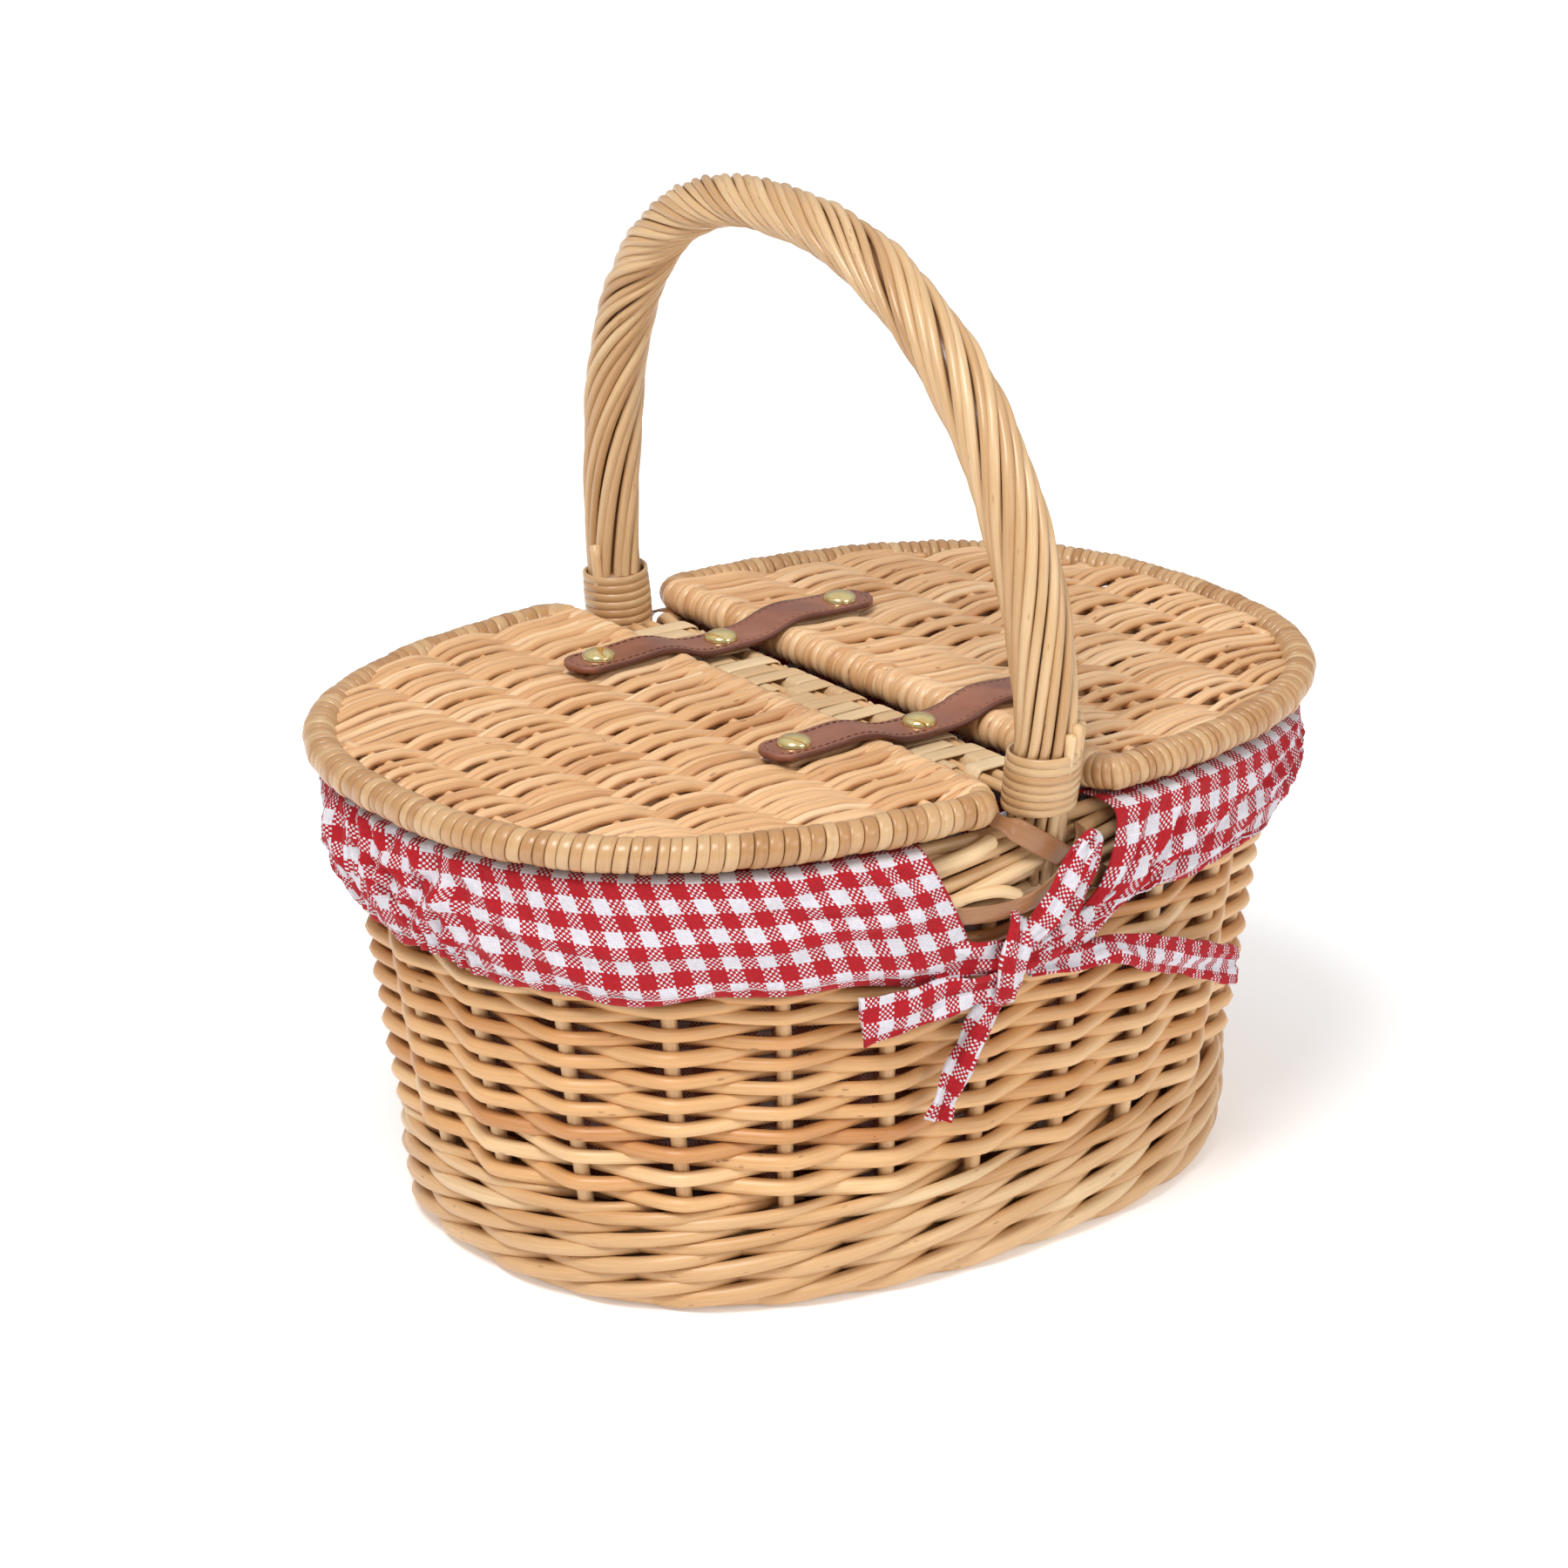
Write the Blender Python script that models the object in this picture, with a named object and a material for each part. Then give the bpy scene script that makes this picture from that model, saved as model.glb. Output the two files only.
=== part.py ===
"""Oval wicker picnic basket with two hinged lids, a rope-twist bow handle and a gingham liner.

Metres, +Z up. The origin is the centre of the footprint on the ground, +X runs along the
basket's length towards the right lid, and +Y runs across it from the front to the rear.
"""

import math

import bmesh
import bpy
import numpy as np
from mathutils import Matrix, Vector

# ---- driving dimensions ---------------------------------------------------------------
GAP = 0.0004                   # running gap left between pieces that touch
OVAL_STATIONS = 48             # facets round a woven ring
ROD_SIDES = 6                  # facets round a willow rod

BASE_HALF = (0.1300, 0.0975)   # half length and half width of the wall's outside at the ground
TOP_HALF = (0.1540, 0.1120)    # the same at WALL_TOP
WALL_TOP = 0.150
WALL_BOW = 0.24                # how far the flare bows out between ground and top
OVAL_POWER = 2.4               # superellipse power of the plan
WALL_THICKNESS = 0.0105
STAKE_DEPTH = 0.0055           # stake centre line, inwards from the outside face

FOOT_HEIGHT = 0.0350
WEAVE_TOP = 0.1150
BORDER_TOP = 0.1465
BASE_LEVEL = 0.0080            # centre of the woven base and of the sticks in it
BASE_THICKNESS = 0.0080

STAKE_PAIRS = 12               # each pair is one rod: up one side, under the base, up the other
STAKE_RADIUS = 0.0023
STAKE_TOP = 0.1420
STAKE_BOTTOM = 0.0180          # where a stake starts to turn in under the base
STAKE_TURN_IN = 0.0075         # how far it runs inwards through that turn

LID_HALF = (0.1650, 0.1170)    # outside of the lid's hoop
LID_POWER = 2.55
HOOP_RADIUS = 0.0055
LID_LEVEL = 0.1555             # centre line of hoop and hinge bar
BAR_OFFSET = 0.0230            # hinge bar's centre line from the middle of the basket
PANEL_BOTTOM = 0.1528
PANEL_TOP = 0.1608
RIB_RADIUS = 0.0018
RIB_OFFSETS = (0.040, 0.068, 0.095, 0.121, 0.146)

BRIDGE_HALF_WIDTH = 0.0110
BRIDGE_HALF_LENGTH = 0.0850
BRIDGE_BOTTOM = 0.1470
BRIDGE_TOP = 0.1574
BRIDGE_ROD_OFFSET = 0.0078
BRIDGE_ROD_RADIUS = 0.0022
BRIDGE_ROD_FOOT = 0.1330       # how deep the rod ends reach into the border

HINGE_OFFSET = 0.0155          # each lid turns about a line along Y at this distance from the middle
HINGE_LEVEL = 0.1588           # mid-thickness of the strap where it lies on the bridge
STRAP_THICKNESS = 0.0020
STRAP_WIDTH = 0.0165
STRAP_POSITIONS = {"front": -0.0500, "rear": 0.0510}
STRAP_REACH = 0.0595           # strap's end from the middle
STRAP_LID_LEVEL = 0.1627       # mid-thickness of the strap on a lid
STRAP_SPLIT = 0.0015           # half of the opening that stands for the bend at the hinge line
RIVET_OFFSET = 0.0480

RIVET_CAP_RADIUS = 0.0053
RIVET_CAP_HEIGHT = 0.0026
RIVET_SHANK_RADIUS = 0.0014
RIVET_HOLE_RADIUS = 0.0018
RIVET_TAIL_RADIUS = 0.0032
RIVET_TAIL_HEIGHT = 0.0008

HANDLE_HALF_SPAN = 0.1095
HANDLE_SPRING = 0.1700         # level where the straight legs turn into the arch
HANDLE_RISE = 0.1360
HANDLE_POWER = 2.3
HANDLE_LEAN = 0.0210           # the top of the bow leans this far to the rear
HANDLE_LEAN_POWER = 1.5
CORE_RADIUS = 0.0032
CORE_FOOT = 0.0400             # how deep the bow's core reaches into the wall
LEG_LEAN = 0.12                # outward slope of the legs above the wall
ROPE_RADIUS = 0.0093
ROPE_FOOT_RADIUS = 0.0086
ROPE_FLUTE = 0.0007
ROPE_TURNS = 2.5
ROPE_LOBES = 6
ROPE_FOOT = 0.1468             # the rope starts just above the border
BINDING_RADIUS = 0.0116
BINDING_LEVELS = (0.1480, 0.1700)
LASHING_WIDTH = 0.0070
LASHING_THICKNESS = 0.0012

LINER_THICKNESS = 0.0010
LINER_TOP = 0.1450
SKIRT_BOTTOM = 0.1040
SKIRT_NOTCH = 0.0360           # half width of the opening in the skirt round each handle foot
TIE_WIDTH = 0.0110
TIE_THICKNESS = 0.0016
TIE_FACE = 0.1150              # distance of the tie from the middle plane


# ---- scene and materials --------------------------------------------------------------
def clear_scene():
    for obj in list(bpy.data.objects):
        bpy.data.objects.remove(obj, do_unlink=True)


def make_material(name, colour, roughness, metallic=0.0):
    material = bpy.data.materials.new(name)
    material.use_nodes = True
    shader = material.node_tree.nodes["Principled BSDF"]
    shader.inputs["Base Color"].default_value = (*colour, 1.0)
    shader.inputs["Roughness"].default_value = roughness
    shader.inputs["Metallic"].default_value = metallic
    return material


clear_scene()
WILLOW = make_material("willow", (0.62, 0.40, 0.19), 0.50)
PALE_WILLOW = make_material("pale_willow", (0.72, 0.53, 0.30), 0.45)
SKEIN = make_material("willow_skein", (0.46, 0.29, 0.16), 0.50)
LEATHER = make_material("leather", (0.19, 0.075, 0.045), 0.45)
BRASS = make_material("brass", (0.80, 0.62, 0.26), 0.20, 1.0)
GINGHAM = make_material("gingham", (0.72, 0.25, 0.27), 0.90)


def add_object(name, bm, material, smooth_angle=None):
    """Puts a finished bmesh in the scene as one named object."""
    bmesh.ops.recalc_face_normals(bm, faces=bm.faces)
    mesh = bpy.data.meshes.new(name)
    bm.to_mesh(mesh)
    bm.free()
    mesh.materials.append(material)
    if smooth_angle is not None:
        mesh.shade_smooth()
        mesh.set_sharp_from_angle(angle=math.radians(smooth_angle))
    obj = bpy.data.objects.new(name, mesh)
    bpy.context.scene.collection.objects.link(obj)
    return obj


def set_origin(obj, point):
    """Moves an object's origin to a point and leaves its shape in place."""
    obj.data.transform(Matrix.Translation(-Vector(point)))
    obj.location = point


def boolean(target, tool, operation):
    modifier = target.modifiers.new(operation.lower(), "BOOLEAN")
    modifier.operation = operation
    modifier.solver = "EXACT"
    modifier.object = tool


def hide_tool(tool):
    tool.hide_render = True
    tool.display_type = "WIRE"
    return tool


# ---- shared geometry ------------------------------------------------------------------
def oval_points(half, power, turns):
    """Plan points at the given shares of the way round a superellipse, by length of edge."""
    t = np.linspace(0.0, 2.0 * math.pi, 2881)
    c, s = np.cos(t), np.sin(t)
    x = half[0] * np.sign(c) * np.abs(c) ** (2.0 / power)
    y = half[1] * np.sign(s) * np.abs(s) ** (2.0 / power)
    length = np.concatenate([[0.0], np.cumsum(np.hypot(np.diff(x), np.diff(y)))])
    wanted = np.asarray(turns) * length[-1]
    return np.column_stack([np.interp(wanted, length, x), np.interp(wanted, length, y)])


def wall_half(level, offset=0.0):
    """Half length and half width of the wall's outside at a level, grown by an offset."""
    share = level / WALL_TOP
    share += WALL_BOW * share * (1.0 - share)
    return tuple(b + (t - b) * share + offset for b, t in zip(BASE_HALF, TOP_HALF))


def ring_mesh(profile, turns, closed=True):
    """A body swept round the wall's plan. The profile is a closed loop of (offset, level)."""
    bm = bmesh.new()
    levels = [oval_points(wall_half(z, offset), OVAL_POWER, turns) for offset, z in profile]
    stations = [
        [bm.verts.new((*levels[j][i], profile[j][1])) for j in range(len(profile))]
        for i in range(len(turns))
    ]
    pairs = list(zip(stations, stations[1:]))
    if closed:
        pairs.append((stations[-1], stations[0]))
    for first, second in pairs:
        for j in range(len(profile)):
            k = (j + 1) % len(profile)
            bm.faces.new((first[j], second[j], second[k], first[k]))
    if not closed:
        bm.faces.new(stations[0])
        bm.faces.new(stations[-1])
    return bm


def all_round():
    return np.arange(OVAL_STATIONS) / OVAL_STATIONS


def frames_along(path):
    """Tangent, side and up vectors at each point of a path, without twist."""
    points = [Vector(p) for p in path]
    tangents = []
    for i in range(len(points)):
        before, after = points[max(i - 1, 0)], points[min(i + 1, len(points) - 1)]
        tangents.append((after - before).normalized())
    side = tangents[0].orthogonal().normalized()
    frames = []
    for tangent in tangents:
        side = (side - tangent * side.dot(tangent)).normalized()
        frames.append((tangent, side, tangent.cross(side)))
    return points, frames


def loop_of(bm, centre, frame, radii):
    _, side, up = frame
    loop = []
    for k, radius in enumerate(radii):
        angle = 2.0 * math.pi * k / len(radii)
        loop.append(bm.verts.new(centre + (side * math.cos(angle) + up * math.sin(angle)) * radius))
    return loop


def join_loops(bm, first, second):
    for k in range(len(first)):
        following = (k + 1) % len(first)
        bm.faces.new((first[k], first[following], second[following], second[k]))


def rod_mesh(path, radius, sides=ROD_SIDES):
    """A solid round rod along a path."""
    bm = bmesh.new()
    points, frames = frames_along(path)
    loops = [loop_of(bm, p, f, [radius] * sides) for p, f in zip(points, frames)]
    for first, second in zip(loops, loops[1:]):
        join_loops(bm, first, second)
    bm.faces.new(loops[0])
    bm.faces.new(loops[-1])
    return bm


def pipe_mesh(path, outer_radii, inner_radius):
    """A thick pipe along a path. outer_radii holds one list of radii for each path point."""
    bm = bmesh.new()
    points, frames = frames_along(path)
    outer = [loop_of(bm, p, f, r) for p, f, r in zip(points, frames, outer_radii)]
    inner = [loop_of(bm, p, f, [inner_radius] * len(r))
             for p, f, r in zip(points, frames, outer_radii)]
    for loops in (outer, inner):
        for first, second in zip(loops, loops[1:]):
            join_loops(bm, first, second)
    for end in (0, -1):
        join_loops(bm, outer[end], inner[end])
    return bm


def plate_mesh(outline, bottom, top):
    """A flat plate: a closed plan outline extruded upwards."""
    bm = bmesh.new()
    face = bm.faces.new([bm.verts.new((x, y, bottom)) for x, y in outline])
    raised = bmesh.ops.extrude_face_region(bm, geom=[face])["geom"]
    moved = [v for v in raised if isinstance(v, bmesh.types.BMVert)]
    bmesh.ops.translate(bm, verts=moved, vec=(0.0, 0.0, top - bottom))
    return bm


def spun_mesh(profile, steps):
    """A round body made by spinning an open (radius, level) profile about the Z axis."""
    bm = bmesh.new()
    verts = [bm.verts.new((r, 0.0, z)) for r, z in profile]
    edges = [bm.edges.new(pair) for pair in zip(verts, verts[1:])]
    bmesh.ops.spin(bm, geom=verts + edges, cent=(0, 0, 0), axis=(0, 0, 1),
                   angle=2.0 * math.pi, steps=steps, use_merge=True)
    bmesh.ops.remove_doubles(bm, verts=bm.verts, dist=1e-6)
    return bm


def ribbon_mesh(centre_line, thickness, width, middle):
    """A flat strap: an (x, z) centre line thickened and given a width along Y."""
    points = [Vector((x, 0.0, z)) for x, z in centre_line]
    above, below = [], []
    for i, point in enumerate(points):
        along = (points[min(i + 1, len(points) - 1)] - points[max(i - 1, 0)]).normalized()
        normal = Vector((-along.z, 0.0, along.x)) * (thickness / 2.0)
        above.append(point + normal)
        below.append(point - normal)
    bm = bmesh.new()
    edge = [bm.verts.new((p.x, middle - width / 2.0, p.z)) for p in above + below[::-1]]
    extruded = bmesh.ops.extrude_face_region(bm, geom=[bm.faces.new(edge)])["geom"]
    moved = [v for v in extruded if isinstance(v, bmesh.types.BMVert)]
    bmesh.ops.translate(bm, verts=moved, vec=(0.0, width, 0.0))
    return bm


# ---- stakes and handle paths, used by the pieces they pass through ---------------------
def stake_path(turn, top):
    """One rod: down the rear wall, under the base along Y and up the front wall."""
    rear = []
    for z in np.linspace(top, STAKE_BOTTOM, 4):
        x, y = oval_points(wall_half(z, -STAKE_DEPTH), OVAL_POWER, [turn])[0]
        rear.append((x, y, z))
    x, y = oval_points(wall_half(BASE_LEVEL, -STAKE_DEPTH), OVAL_POWER, [turn])[0]
    rear.append((x, y - STAKE_TURN_IN * 0.25, BASE_LEVEL + STAKE_TURN_IN * 0.55))
    rear.append((x, y - STAKE_TURN_IN, BASE_LEVEL))
    front = [(px, -py, pz) for px, py, pz in reversed(rear)]
    return rear + front


def stake_turns():
    """Places of the stake pairs on the rear half of the oval."""
    return [(k + 0.5) / (2 * STAKE_PAIRS) for k in range(STAKE_PAIRS)]


def wall_middle(level):
    return wall_half(level, -STAKE_DEPTH)[1]


def leg_distance(level):
    """Distance of the bow's leg from the middle plane: inside the wall, then leaning out above it."""
    return wall_middle(min(level, WALL_TOP)) + max(0.0, level - WALL_TOP) * LEG_LEAN


def arch_path(steps):
    """The bow's centre line above the spring level, from the rear foot to the front foot."""
    path = []
    for t in np.linspace(0.0, math.pi, steps):
        rise = abs(math.sin(t)) ** (2.0 / HANDLE_POWER)
        across = math.copysign(abs(math.cos(t)) ** (2.0 / HANDLE_POWER), math.cos(t))
        lean = HANDLE_LEAN * rise ** HANDLE_LEAN_POWER
        path.append((0.0, HANDLE_HALF_SPAN * across + lean, HANDLE_SPRING + HANDLE_RISE * rise))
    return path


def handle_path(foot_level, steps=31):
    """The bow's centre line from a level in or on the wall, over the top, and down again."""
    levels = [z for z in (CORE_FOOT, 0.095, ROPE_FOOT, 0.158) if z >= foot_level]
    leg = [(0.0, leg_distance(z), z) for z in levels]
    return leg + arch_path(steps) + [(x, -y, z) for x, y, z in reversed(leg)]


# ---- basket body ----------------------------------------------------------------------
def build_stakes():
    """The stakes. Returns the slightly thicker rods that cut their channels."""
    tools = []
    for number, turn in enumerate(stake_turns(), start=1):
        stake = rod_mesh(stake_path(turn, STAKE_TOP), STAKE_RADIUS)
        add_object(f"stake_pair_{number:02d}", stake, PALE_WILLOW, 50)
        wider = rod_mesh(stake_path(turn, STAKE_TOP + GAP), STAKE_RADIUS + GAP)
        tools.append(hide_tool(add_object(f"stake_tool_{number:02d}", wider, SKEIN)))
    return tools


def build_body(stake_tools, core_tool, bridge_tools):
    foot_profile = [(-0.0100, 0.0), (-0.0030, 0.0), (0.0015, 0.0045), (0.0028, 0.0140),
                    (0.0016, 0.0280), (-0.0004, FOOT_HEIGHT - GAP),
                    (-WALL_THICKNESS, FOOT_HEIGHT - GAP), (-WALL_THICKNESS, 0.0030)]
    foot = add_object("foot_wale", ring_mesh(foot_profile, all_round()), PALE_WILLOW, 40)

    weave_levels = np.linspace(FOOT_HEIGHT, WEAVE_TOP, 3)
    weave_profile = [(0.0, z) for z in weave_levels]
    weave_profile += [(-WALL_THICKNESS, z) for z in reversed(weave_levels)]
    weave = add_object("side_weave", ring_mesh(weave_profile, all_round()), WILLOW, 40)

    border_profile = [(-0.0125, WEAVE_TOP + GAP), (0.0005, WEAVE_TOP + GAP), (0.0018, 0.1310),
                      (0.0004, 0.1425), (-0.0030, BORDER_TOP), (-0.0100, BORDER_TOP),
                      (-0.0128, 0.1430)]
    border = add_object("top_border", ring_mesh(border_profile, all_round()), PALE_WILLOW, 40)

    half = wall_half(BASE_LEVEL, -WALL_THICKNESS - 2.0 * GAP)
    outline = oval_points(half, OVAL_POWER, all_round())
    base = add_object("base_panel", plate_mesh(outline, BASE_LEVEL - BASE_THICKNESS / 2.0,
                                               BASE_LEVEL + BASE_THICKNESS / 2.0), WILLOW)
    for ring in (foot, weave, border, base):
        for tool in stake_tools:
            boolean(ring, tool, "DIFFERENCE")
    for ring in (weave, border):
        boolean(ring, core_tool, "DIFFERENCE")
    for tool in bridge_tools:
        boolean(border, tool, "DIFFERENCE")


# ---- bridge between the lids ----------------------------------------------------------
def bridge_rod_path(side, foot_level):
    """A stiff rod across the opening whose ends splay round the handle and enter the border."""
    x_foot, y_foot = 0.0136, 0.1020
    rear = [(side * x_foot, y_foot, foot_level), (side * x_foot, y_foot, 0.1480),
            (side * 0.0130, 0.0990, 0.1512), (side * BRIDGE_ROD_OFFSET, 0.0860, 0.1522)]
    return rear + [(x, -y, z) for x, y, z in reversed(rear)]


def build_bridge_rods():
    tools = []
    for label, side in (("left", -1.0), ("right", 1.0)):
        rod = rod_mesh(bridge_rod_path(side, BRIDGE_ROD_FOOT), BRIDGE_ROD_RADIUS, sides=8)
        add_object(f"bridge_rod_{label}", rod, PALE_WILLOW, 50)
        wider = rod_mesh(bridge_rod_path(side, BRIDGE_ROD_FOOT - GAP), BRIDGE_ROD_RADIUS + GAP, 8)
        tools.append(hide_tool(add_object(f"bridge_rod_tool_{label}", wider, SKEIN)))
    return tools


def box_mesh(low, high):
    bm = bmesh.new()
    size = [h - l for l, h in zip(low, high)]
    middle = [(l + h) / 2.0 for l, h in zip(low, high)]
    bmesh.ops.create_cube(bm, size=1.0)
    bmesh.ops.scale(bm, verts=bm.verts, vec=size)
    bmesh.ops.translate(bm, verts=bm.verts, vec=middle)
    return bm


def build_bridge_weave(rod_tools, hole_tools):
    low = (-BRIDGE_HALF_WIDTH, -BRIDGE_HALF_LENGTH, BRIDGE_BOTTOM)
    high = (BRIDGE_HALF_WIDTH, BRIDGE_HALF_LENGTH, BRIDGE_TOP)
    weave = add_object("bridge_weave", box_mesh(low, high), PALE_WILLOW)
    for tool in rod_tools + hole_tools:
        boolean(weave, tool, "DIFFERENCE")


# ---- handle ---------------------------------------------------------------------------
def build_handle():
    core = handle_path(CORE_FOOT)
    add_object("handle_core", rod_mesh(core, CORE_RADIUS), PALE_WILLOW, 50)
    wider = [(x, y, z - GAP if z == CORE_FOOT else z) for x, y, z in core]
    tool = hide_tool(add_object("core_tool", rod_mesh(wider, CORE_RADIUS + GAP, 8), SKEIN))

    path = handle_path(ROPE_FOOT)
    radii = []
    sides = 2 * ROPE_LOBES
    for i, (_, _, z) in enumerate(path):
        twist = 2.0 * math.pi * ROPE_TURNS * i / (len(path) - 1)
        in_binding = z < HANDLE_SPRING + GAP
        flute = 0.0 if in_binding else ROPE_FLUTE
        radius = ROPE_FOOT_RADIUS if in_binding else ROPE_RADIUS
        radii.append([
            radius + flute * math.cos(ROPE_LOBES * (2.0 * math.pi * k / sides) + twist)
            for k in range(sides)
        ])
    rope = pipe_mesh(path, radii, CORE_RADIUS + 2.0 * GAP)
    add_object("handle_rope", rope, WILLOW, 60)
    return tool


def build_bindings():
    """The skein ferrule wound round each foot of the bow."""
    low, high = BINDING_LEVELS
    for label, side in (("rear", 1.0), ("front", -1.0)):
        path = [(0.0, side * leg_distance(z), z) for z in np.linspace(low, high, 4)]
        outer = [[BINDING_RADIUS - 0.0006 * (i in (0, 3))] * 16 for i in range(4)]
        binding = pipe_mesh(path, outer, ROPE_FOOT_RADIUS + 2.0 * GAP)
        add_object(f"handle_binding_{label}", binding, PALE_WILLOW, 50)


def slanted_strip(start, end, width, near, far):
    """A flat strip in a plane across Y, between two (x, z) points."""
    along = Vector((end[0] - start[0], end[1] - start[1])).normalized()
    side = Vector((-along.y, along.x)) * (width / 2.0)
    corners = [Vector(start) + side, Vector(start) - side, Vector(end) - side, Vector(end) + side]
    bm = bmesh.new()
    face = bm.faces.new([bm.verts.new((c.x, near, c.y)) for c in corners])
    extruded = bmesh.ops.extrude_face_region(bm, geom=[face])["geom"]
    moved = [v for v in extruded if isinstance(v, bmesh.types.BMVert)]
    bmesh.ops.translate(bm, verts=moved, vec=(0.0, far - near, 0.0))
    return bm


def build_lashings():
    """Flat skein crossed over the border below each foot of the bow."""
    near = wall_half(0.131, 0.0018)[1] + 2.0 * GAP
    far = near + LASHING_THICKNESS
    for label, side in (("rear", 1.0), ("front", -1.0)):
        falling = slanted_strip((-0.021, 0.1440), (0.019, 0.1200), LASHING_WIDTH, side * near, side * far)
        rising = slanted_strip((-0.021, 0.1195), (0.020, 0.1445), LASHING_WIDTH, side * near, side * far)
        lashing = add_object(f"handle_lashing_{label}", falling, SKEIN)
        tool = hide_tool(add_object(f"lashing_tool_{label}", rising, SKEIN))
        boolean(lashing, tool, "UNION")


# ---- lids -----------------------------------------------------------------------------
def lid_edge(inset, start_x, steps):
    """Points along one lid's round edge, from the rear end to the front end, for the right lid."""
    half = (LID_HALF[0] - inset, LID_HALF[1] - inset)
    start = math.acos((start_x / half[0]) ** (LID_POWER / 2.0))
    points = []
    for t in np.linspace(start, -start, steps):
        x = half[0] * abs(math.cos(t)) ** (2.0 / LID_POWER)
        y = half[1] * math.copysign(abs(math.sin(t)) ** (2.0 / LID_POWER), math.sin(t))
        points.append((x, y))
    return points


def rivet_hole_tool(name, x, y, bottom, top):
    bm = spun_mesh([(0.0, bottom), (RIVET_HOLE_RADIUS, bottom), (RIVET_HOLE_RADIUS, top),
                    (0.0, top)], steps=10)
    bmesh.ops.translate(bm, verts=bm.verts, vec=(x, y, 0.0))
    return hide_tool(add_object(name, bm, SKEIN))


def build_lid(label, side, hole_tools):
    """One D-shaped lid. side is -1 for the left lid and 1 for the right lid."""
    pivot = (side * HINGE_OFFSET, 0.0, HINGE_LEVEL)
    bar_path = [(side * BAR_OFFSET, y, LID_LEVEL) for y in (-0.1165, 0.1165)]
    pieces = [add_object(f"{label}_lid_hinge_bar", rod_mesh(bar_path, HOOP_RADIUS, 12),
                         PALE_WILLOW, 50)]

    hoop_start = BAR_OFFSET + HOOP_RADIUS + GAP
    edge = lid_edge(HOOP_RADIUS, hoop_start, 27)
    hoop_path = [(side * x, y, LID_LEVEL) for x, y in edge]
    for end, inner in ((0, 1), (-1, -2)):
        hoop_path[end] = (side * hoop_start, hoop_path[inner][1] * 1.003, LID_LEVEL)
    pieces.append(add_object(f"{label}_lid_hoop", rod_mesh(hoop_path, HOOP_RADIUS, 8),
                             PALE_WILLOW, 50))

    inset = 2.0 * HOOP_RADIUS + 4.0 * GAP
    outline = [(side * x, y) for x, y in lid_edge(inset, hoop_start + GAP, 27)]
    panel = add_object(f"{label}_lid_panel", plate_mesh(outline, PANEL_BOTTOM, PANEL_TOP), WILLOW)
    pieces.append(panel)

    half = (LID_HALF[0] - inset, LID_HALF[1] - inset)
    for number, offset in enumerate(RIB_OFFSETS, start=1):
        reach = half[1] * (1.0 - (offset / half[0]) ** LID_POWER) ** (1.0 / LID_POWER) - 0.0025
        level = (PANEL_BOTTOM + PANEL_TOP) / 2.0
        ends = [(side * offset, -reach, level), (side * offset, reach, level)]
        pieces.append(add_object(f"{label}_lid_rib_{number}", rod_mesh(ends, RIB_RADIUS),
                                 PALE_WILLOW, 50))
        far = [(side * offset, -reach - 0.02, level), (side * offset, reach + 0.02, level)]
        tool = add_object(f"{label}_rib_tool_{number}", rod_mesh(far, RIB_RADIUS + GAP), SKEIN)
        boolean(panel, hide_tool(tool), "DIFFERENCE")
    for tool in hole_tools:
        boolean(panel, tool, "DIFFERENCE")
    for piece in pieces:
        set_origin(piece, pivot)


# ---- leather hinge straps and rivets ---------------------------------------------------
def strap_lid_line(side):
    """The strap's centre line from the hinge line up over the hinge bar and along the lid."""
    start = HINGE_OFFSET + STRAP_SPLIT
    line = [(start, HINGE_LEVEL + 0.0003), (start + 0.0015, HINGE_LEVEL + 0.0017),
            (start + 0.0030, HINGE_LEVEL + 0.0029), (start + 0.0050, STRAP_LID_LEVEL - 0.0001),
            (start + 0.0075, STRAP_LID_LEVEL), (STRAP_REACH, STRAP_LID_LEVEL)]
    return [(side * x, z) for x, z in line]


def build_strap(label, middle, hole_tools):
    inner = HINGE_OFFSET - STRAP_SPLIT
    centre = ribbon_mesh([(-inner, HINGE_LEVEL), (inner, HINGE_LEVEL)], STRAP_THICKNESS,
                         STRAP_WIDTH, middle)
    boolean(add_object(f"strap_{label}_centre", centre, LEATHER), hole_tools["centre"],
            "DIFFERENCE")
    for end, side in (("left", -1.0), ("right", 1.0)):
        tab = ribbon_mesh(strap_lid_line(side), STRAP_THICKNESS, STRAP_WIDTH, middle)
        piece = add_object(f"strap_{label}_{end}", tab, LEATHER)
        boolean(piece, hole_tools[end], "DIFFERENCE")
        set_origin(piece, (side * HINGE_OFFSET, 0.0, HINGE_LEVEL))


def build_rivet(name, x, y, strap_top, underside):
    """One rivet: a domed cap on the strap, a shank, and a clenched tail below the willow."""
    seat = strap_top + GAP
    tail = underside - GAP
    cap = [(0.0, seat + RIVET_CAP_HEIGHT)]
    cap += [(RIVET_CAP_RADIUS * math.sin(a), seat + RIVET_CAP_HEIGHT * math.cos(a))
            for a in np.radians((30.0, 60.0, 90.0))]
    profile = cap + [(RIVET_SHANK_RADIUS, seat), (RIVET_SHANK_RADIUS, tail),
                     (RIVET_TAIL_RADIUS, tail), (RIVET_TAIL_RADIUS, tail - RIVET_TAIL_HEIGHT),
                     (0.0, tail - RIVET_TAIL_HEIGHT)]
    bm = spun_mesh(profile, steps=12)
    bmesh.ops.translate(bm, verts=bm.verts, vec=(x, y, 0.0))
    return add_object(name, bm, BRASS, 40)


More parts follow.
